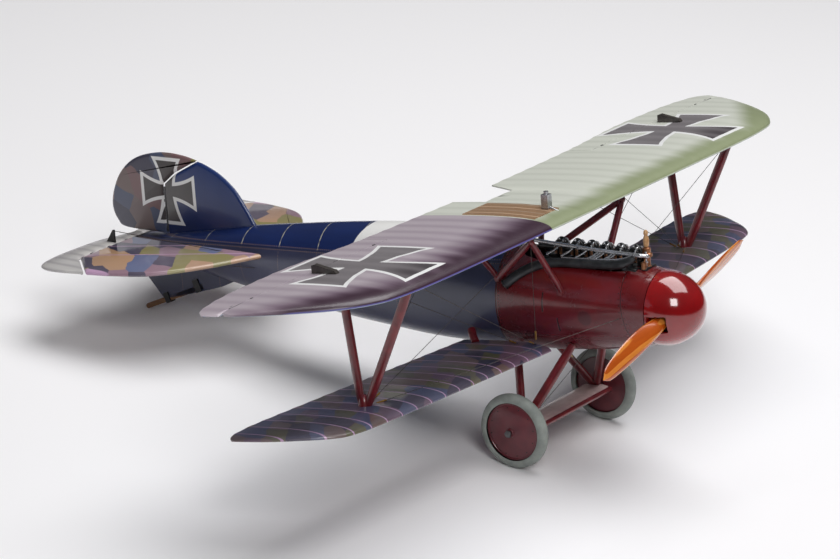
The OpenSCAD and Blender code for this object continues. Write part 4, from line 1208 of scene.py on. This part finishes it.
def spring(place, radius, height, turns, wire=0.12):
    x, y, z = place
    steps = turns * 10
    return tube([(x + radius * math.cos(2 * math.pi * turns * k / steps),
                  y + radius * math.sin(2 * math.pi * turns * k / steps), z + height * k / steps)
                 for k in range(steps + 1)], wire, 6)


def port_x(i):
    """Where cylinder i's exhaust port is, counted from the front."""
    return -13.2 - 5.9 * i


def make_valve_gear():
    """The camshaft case with a humped cover, levers, springs and caps at each cylinder."""
    shaft = [tube([(x, 0, 15.5) for x in spread(-47, -10, 20)], 1.3, 20)]
    shaft += [turned([(1.3, -0.25), (1.75, -0.2), (1.75, 0.2), (1.3, 0.25)], (port_x(i) + 2.95, 0, 15.5),
                     (1, 0, 0), 24) for i in range(6)]
    covers, arms, springs, caps = [], [], [], []
    for i in range(6):
        x = -12.6 - 5.2 * i - (0.6 if i == 5 else 0)
        covers.append(block((x - 1.35, -1.9, 13.4), (x + 1.35, 1.9, 15.3), 0.35))
        hump = [(x + 1.5 * math.cos(a), 0, 16.4 + 1.9 * math.sin(a))
                for a in spread(math.pi * 0.05, math.pi * 0.95, 12)]
        covers.append(tube(hump, 0.62, 12))
        covers.append(tube([(p[0], p[1] - 1.5, p[2] - 0.3) for p in hump], 0.42, 10))
        for side in (-1, 1):
            stem = side * 2.45
            arch = [(x + 0.9, side * (0.4 + 2.1 * t), 18.1 - 1.5 * t * t) for t in spread(0, 1, 8)]
            arms.append(tube(arch, 0.32, 10))
            arms.append(ball((x + 0.9, side * 2.5, 16.5), 0.5, 8))
            arms.append(tube([(x - 1.3, side * 1.3, 17.6), (x + 1.3, side * 1.3, 17.8)], 0.34, 10))
            springs += [spring((x + k, stem, 13.9), 0.42, 2.3, 6) for k in (0.9, -0.9)]
            caps.append(turned([(0.01, 0.3), (0.45, 0.25), (0.5, 0), (0.3, -0.1)],
                               (x - 0.9, stem, 16.3), (0, 0, 1), 14))
        caps.append(turned([(0.01, 0.5), (0.35, 0.45), (0.5, 0.2), (0.5, -0.4)],
                           (x - 0.2, -1.2, 18.3), (0, 0, 1), 16))
    add("camshaft_case", *joined(shaft + covers), "airframe", "black", "black_metal", ["cam_housing"],
        sharp=50)
    add("rocker_levers", *joined(arms + caps), "airframe", "silver", "silver_metal", ["rocker_arms"],
        sharp=50)
    add("valve_springs", *joined(springs), "airframe", "bronze", "silver_metal")


def make_exhaust():
    """The exhaust log with a stub from each port, the silver rail and pipes over it, and a silver strip as the
    log's painted top highlight.
    """
    log = curve_through(LOG_PATH, 8)
    n = len(log)
    bore = [1.0 + 0.5 * min(1, k / 14) + 0.15 * max(0, k / n - 0.6) for k in range(n)]
    ports = [tube([(port_x(i), -1.8, 11.9), (port_x(i), -4, 12.6), (port_x(i) - 0.2, -6.4, 13.1)],
                  0.8, 14) for i in range(6)]
    lip = turned([(1.5, -0.1), (1.72, 0), (1.72, 0.35), (1.5, 0.45), (1.2, 0.3)], log[-1],
                 log[-1] - log[-2], 24)
    add("exhaust_log", *joined([tube(log, 1.4, 20, taper=bore), lip] + ports), "airframe", "exhaust",
        "black_metal", ["exhaust_manifold"], sharp=60)
    # A thin silver strip on the top of the log: a painted highlight of the log's glossy top.
    top = [(p[0], p[1] + 0.1, p[2] + r * 0.95) for p, r in zip(log[2:34], bore[2:34])]
    elbow = curve_through([(-46, -4.9, 18.3), (-48.6, -4.2, 18.1), (-50.2, -1.8, 17.3)], 6)
    nuts = [turned([(0.6, -0.45), (0.85, -0.4), (0.85, 0.4), (0.6, 0.45)], place, (1, 0, 0.05), 6)
            for place in ((-10.4, -4.9, 17.0), (-30, -4.97, 17.5))]
    rail_pipes_and_log_highlight = [tube(curve_through(RAIL, 6), 0.62, 16), tube(elbow, 0.6, 16), tube(top, 0.32, 10)]
    add("water_rail_and_log_highlight", *joined(rail_pipes_and_log_highlight + nuts + [ball((-6.8, -3.6, 16.6), 0.8, 10)]),
        "airframe", "silver", "silver_metal", ["water_rail"], sharp=50)
    pipes = []
    for i in range(7):
        x = -11.2 - 5.2 * i if i < 6 else -20.4
        for k in ((0, -1.1) if i in (1, 2) else (0,)):
            pipes.append(tube([(x + k - 0.3, -4.95, 16.9), (x + k - 1.6, -5.6, 15.8),
                               (x + k - 3.6, -6.6, 14.6)], 0.3, 10))
            pipes.append(turned([(0.3, -0.15), (0.5, -0.1), (0.5, 0.15), (0.3, 0.2)],
                                (x + k - 3.4, -6.5, 14.7), (2, 1, 1.4), 12))
    add("slanted_pipes", *joined(pipes), "airframe", "silver", "silver_metal", ["inlet_pipes"], sharp=50)


def make_drive():
    """The upright camshaft drive, its pump and rods, the cap on top and the block in front."""
    up = (0, 0, 1)
    column = turned([(1.15, 4), (1.15, 11.8), (1.5, 12), (1.5, 12.5), (1.1, 12.7), (1.1, 15.2),
                     (1.75, 15.5), (1.75, 16.4), (1.3, 16.7), (1.3, 18.1), (0.6, 18.5)], (-9, 0, 0), up, 32)
    pump = turned([(0.01, -1.5), (0.9, -1.4), (0.9, 0.6), (0.01, 0.7)], (-8.6, -2.6, 13.6), up, 24)
    feed = tube(curve_through([(-8.6, -2.6, 14), (-8.2, -2.2, 15.6), (-8.8, -1, 16.2)], 6), 0.3, 10)
    add("drive_column", *joined([column, joined([pump, feed])]), "airframe", "bronze", "brass",
        ["cam_drive"], sharp=40)
    rod = [tube([(-8.4, -1.6, z) for z in spread(11.6, 17.4, 4)], 0.35, 10),
           turned([(0.35, -0.3), (0.7, -0.25), (0.7, 0.25), (0.35, 0.3)], (-8.4, -1.6, 14.2), up, 12),
           turned([(0.6, 0), (1.2, 0.1), (1.2, 0.9), (0.7, 1.0)], (-9, 0, 16.8), up, 24)]
    add("drive_rods", *joined(rod), "airframe", "silver", "silver_metal", sharp=40)
    cap = turned([(0.55, 18.4), (0.85, 18.8), (0.95, 20.2), (0.8, 21.4), (0.5, 22.1), (0.75, 22.4),
                  (0.7, 23.2), (0.3, 23.7), (0.01, 23.8)], (-9, 0, 0), up, 28)
    add("filler_cap", *cap, "airframe", "tan", "brass", sharp=50)
    add("front_block", *joined([block((-14.6, -4.6, 10.6), (-10.4, 4.6, 12.3), 0.4),
                                block((-10.6, -3, 10.8), (-7.4, 3, 12.6), 0.4)]), "airframe", "black",
        "black_metal", sharp=50)


def make_engine():
    paint("crankcase", "black")
    paint("cylinders", "black")
    paint("engine_bearers", "raw_wood")
    make_valve_gear()
    make_exhaust()
    make_drive()


# ---------------------------------------------------------------- rigging
def cable(name, a, b, radius=0.1):
    """A control cable from the body at a to the elevator's horn at b."""
    points = [Vector(a) + (Vector(b) - Vector(a)) * t for t in spread(0, 1, 24)]
    piece = add(name, *tube(points, radius, 8), "airframe", "wire", "wire", tied=False)
    tuple(TO_WORLD @ points[2])
    tuple(TO_WORLD @ points[-2])
    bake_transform(piece)


def make_rest():
    """Finishes for the CAD nodes that keep their shape."""
    finishes = {"raw_wood": ("cockpit_floor", "instrument_panel"), "leather": ("pilot_seat",),
                "black": ("control_stick", "elevator_horns", "skid_fittings"),
                "celluloid": ("windscreen",), "core": ("radiator",), "silver": ("header_tank",),
                "steel": ("aileron_tube_left", "aileron_tube_right", "hinge_brackets", "elevator_rod",
                          "rudder_post"),
                "fairing": ("crank_fairings",), "skid": ("tail_skid",), "wire": ("rigging_wires",),
                "brass": ("turnbuckles",)}
    for material, nodes in finishes.items():
        for node in nodes:
            paint(node, material)


def make_fittings():
    for side, sign in (("left", 1), ("right", -1)):
        cable(f"elevator_cable_{side}_upper", (-150, sign * 9.9, 3.6), (-206.1, sign * 14, 8.5))
        cable(f"elevator_cable_{side}_lower", (-152, sign * 9.6, 0), (-206, sign * 14, -0.2))
    stub = tube(curve_through([(-67, -11.6, -11), (-65.4, -13.4, -12.2), (-63.5, -15, -13.6)], 6), 1.3, 16)
    add("step_tube", *stub, "airframe", "maroon", "maroon_paint")
    hook = turned([(0.15, 0), (0.5, 0.1), (0.5, 0.4), (0.15, 0.5)], (-9.2, -11.4, 1.2), (0.1, -1, 0.1), 16)
    add("nose_hook", *hook, "airframe", "silver", "silver_metal")


make_camera()
make_studio()
make_materials()
make_wings()
make_body()
make_tail()
make_struts()
make_wheels()
make_propeller()
make_engine()
make_rest()
make_fittings()
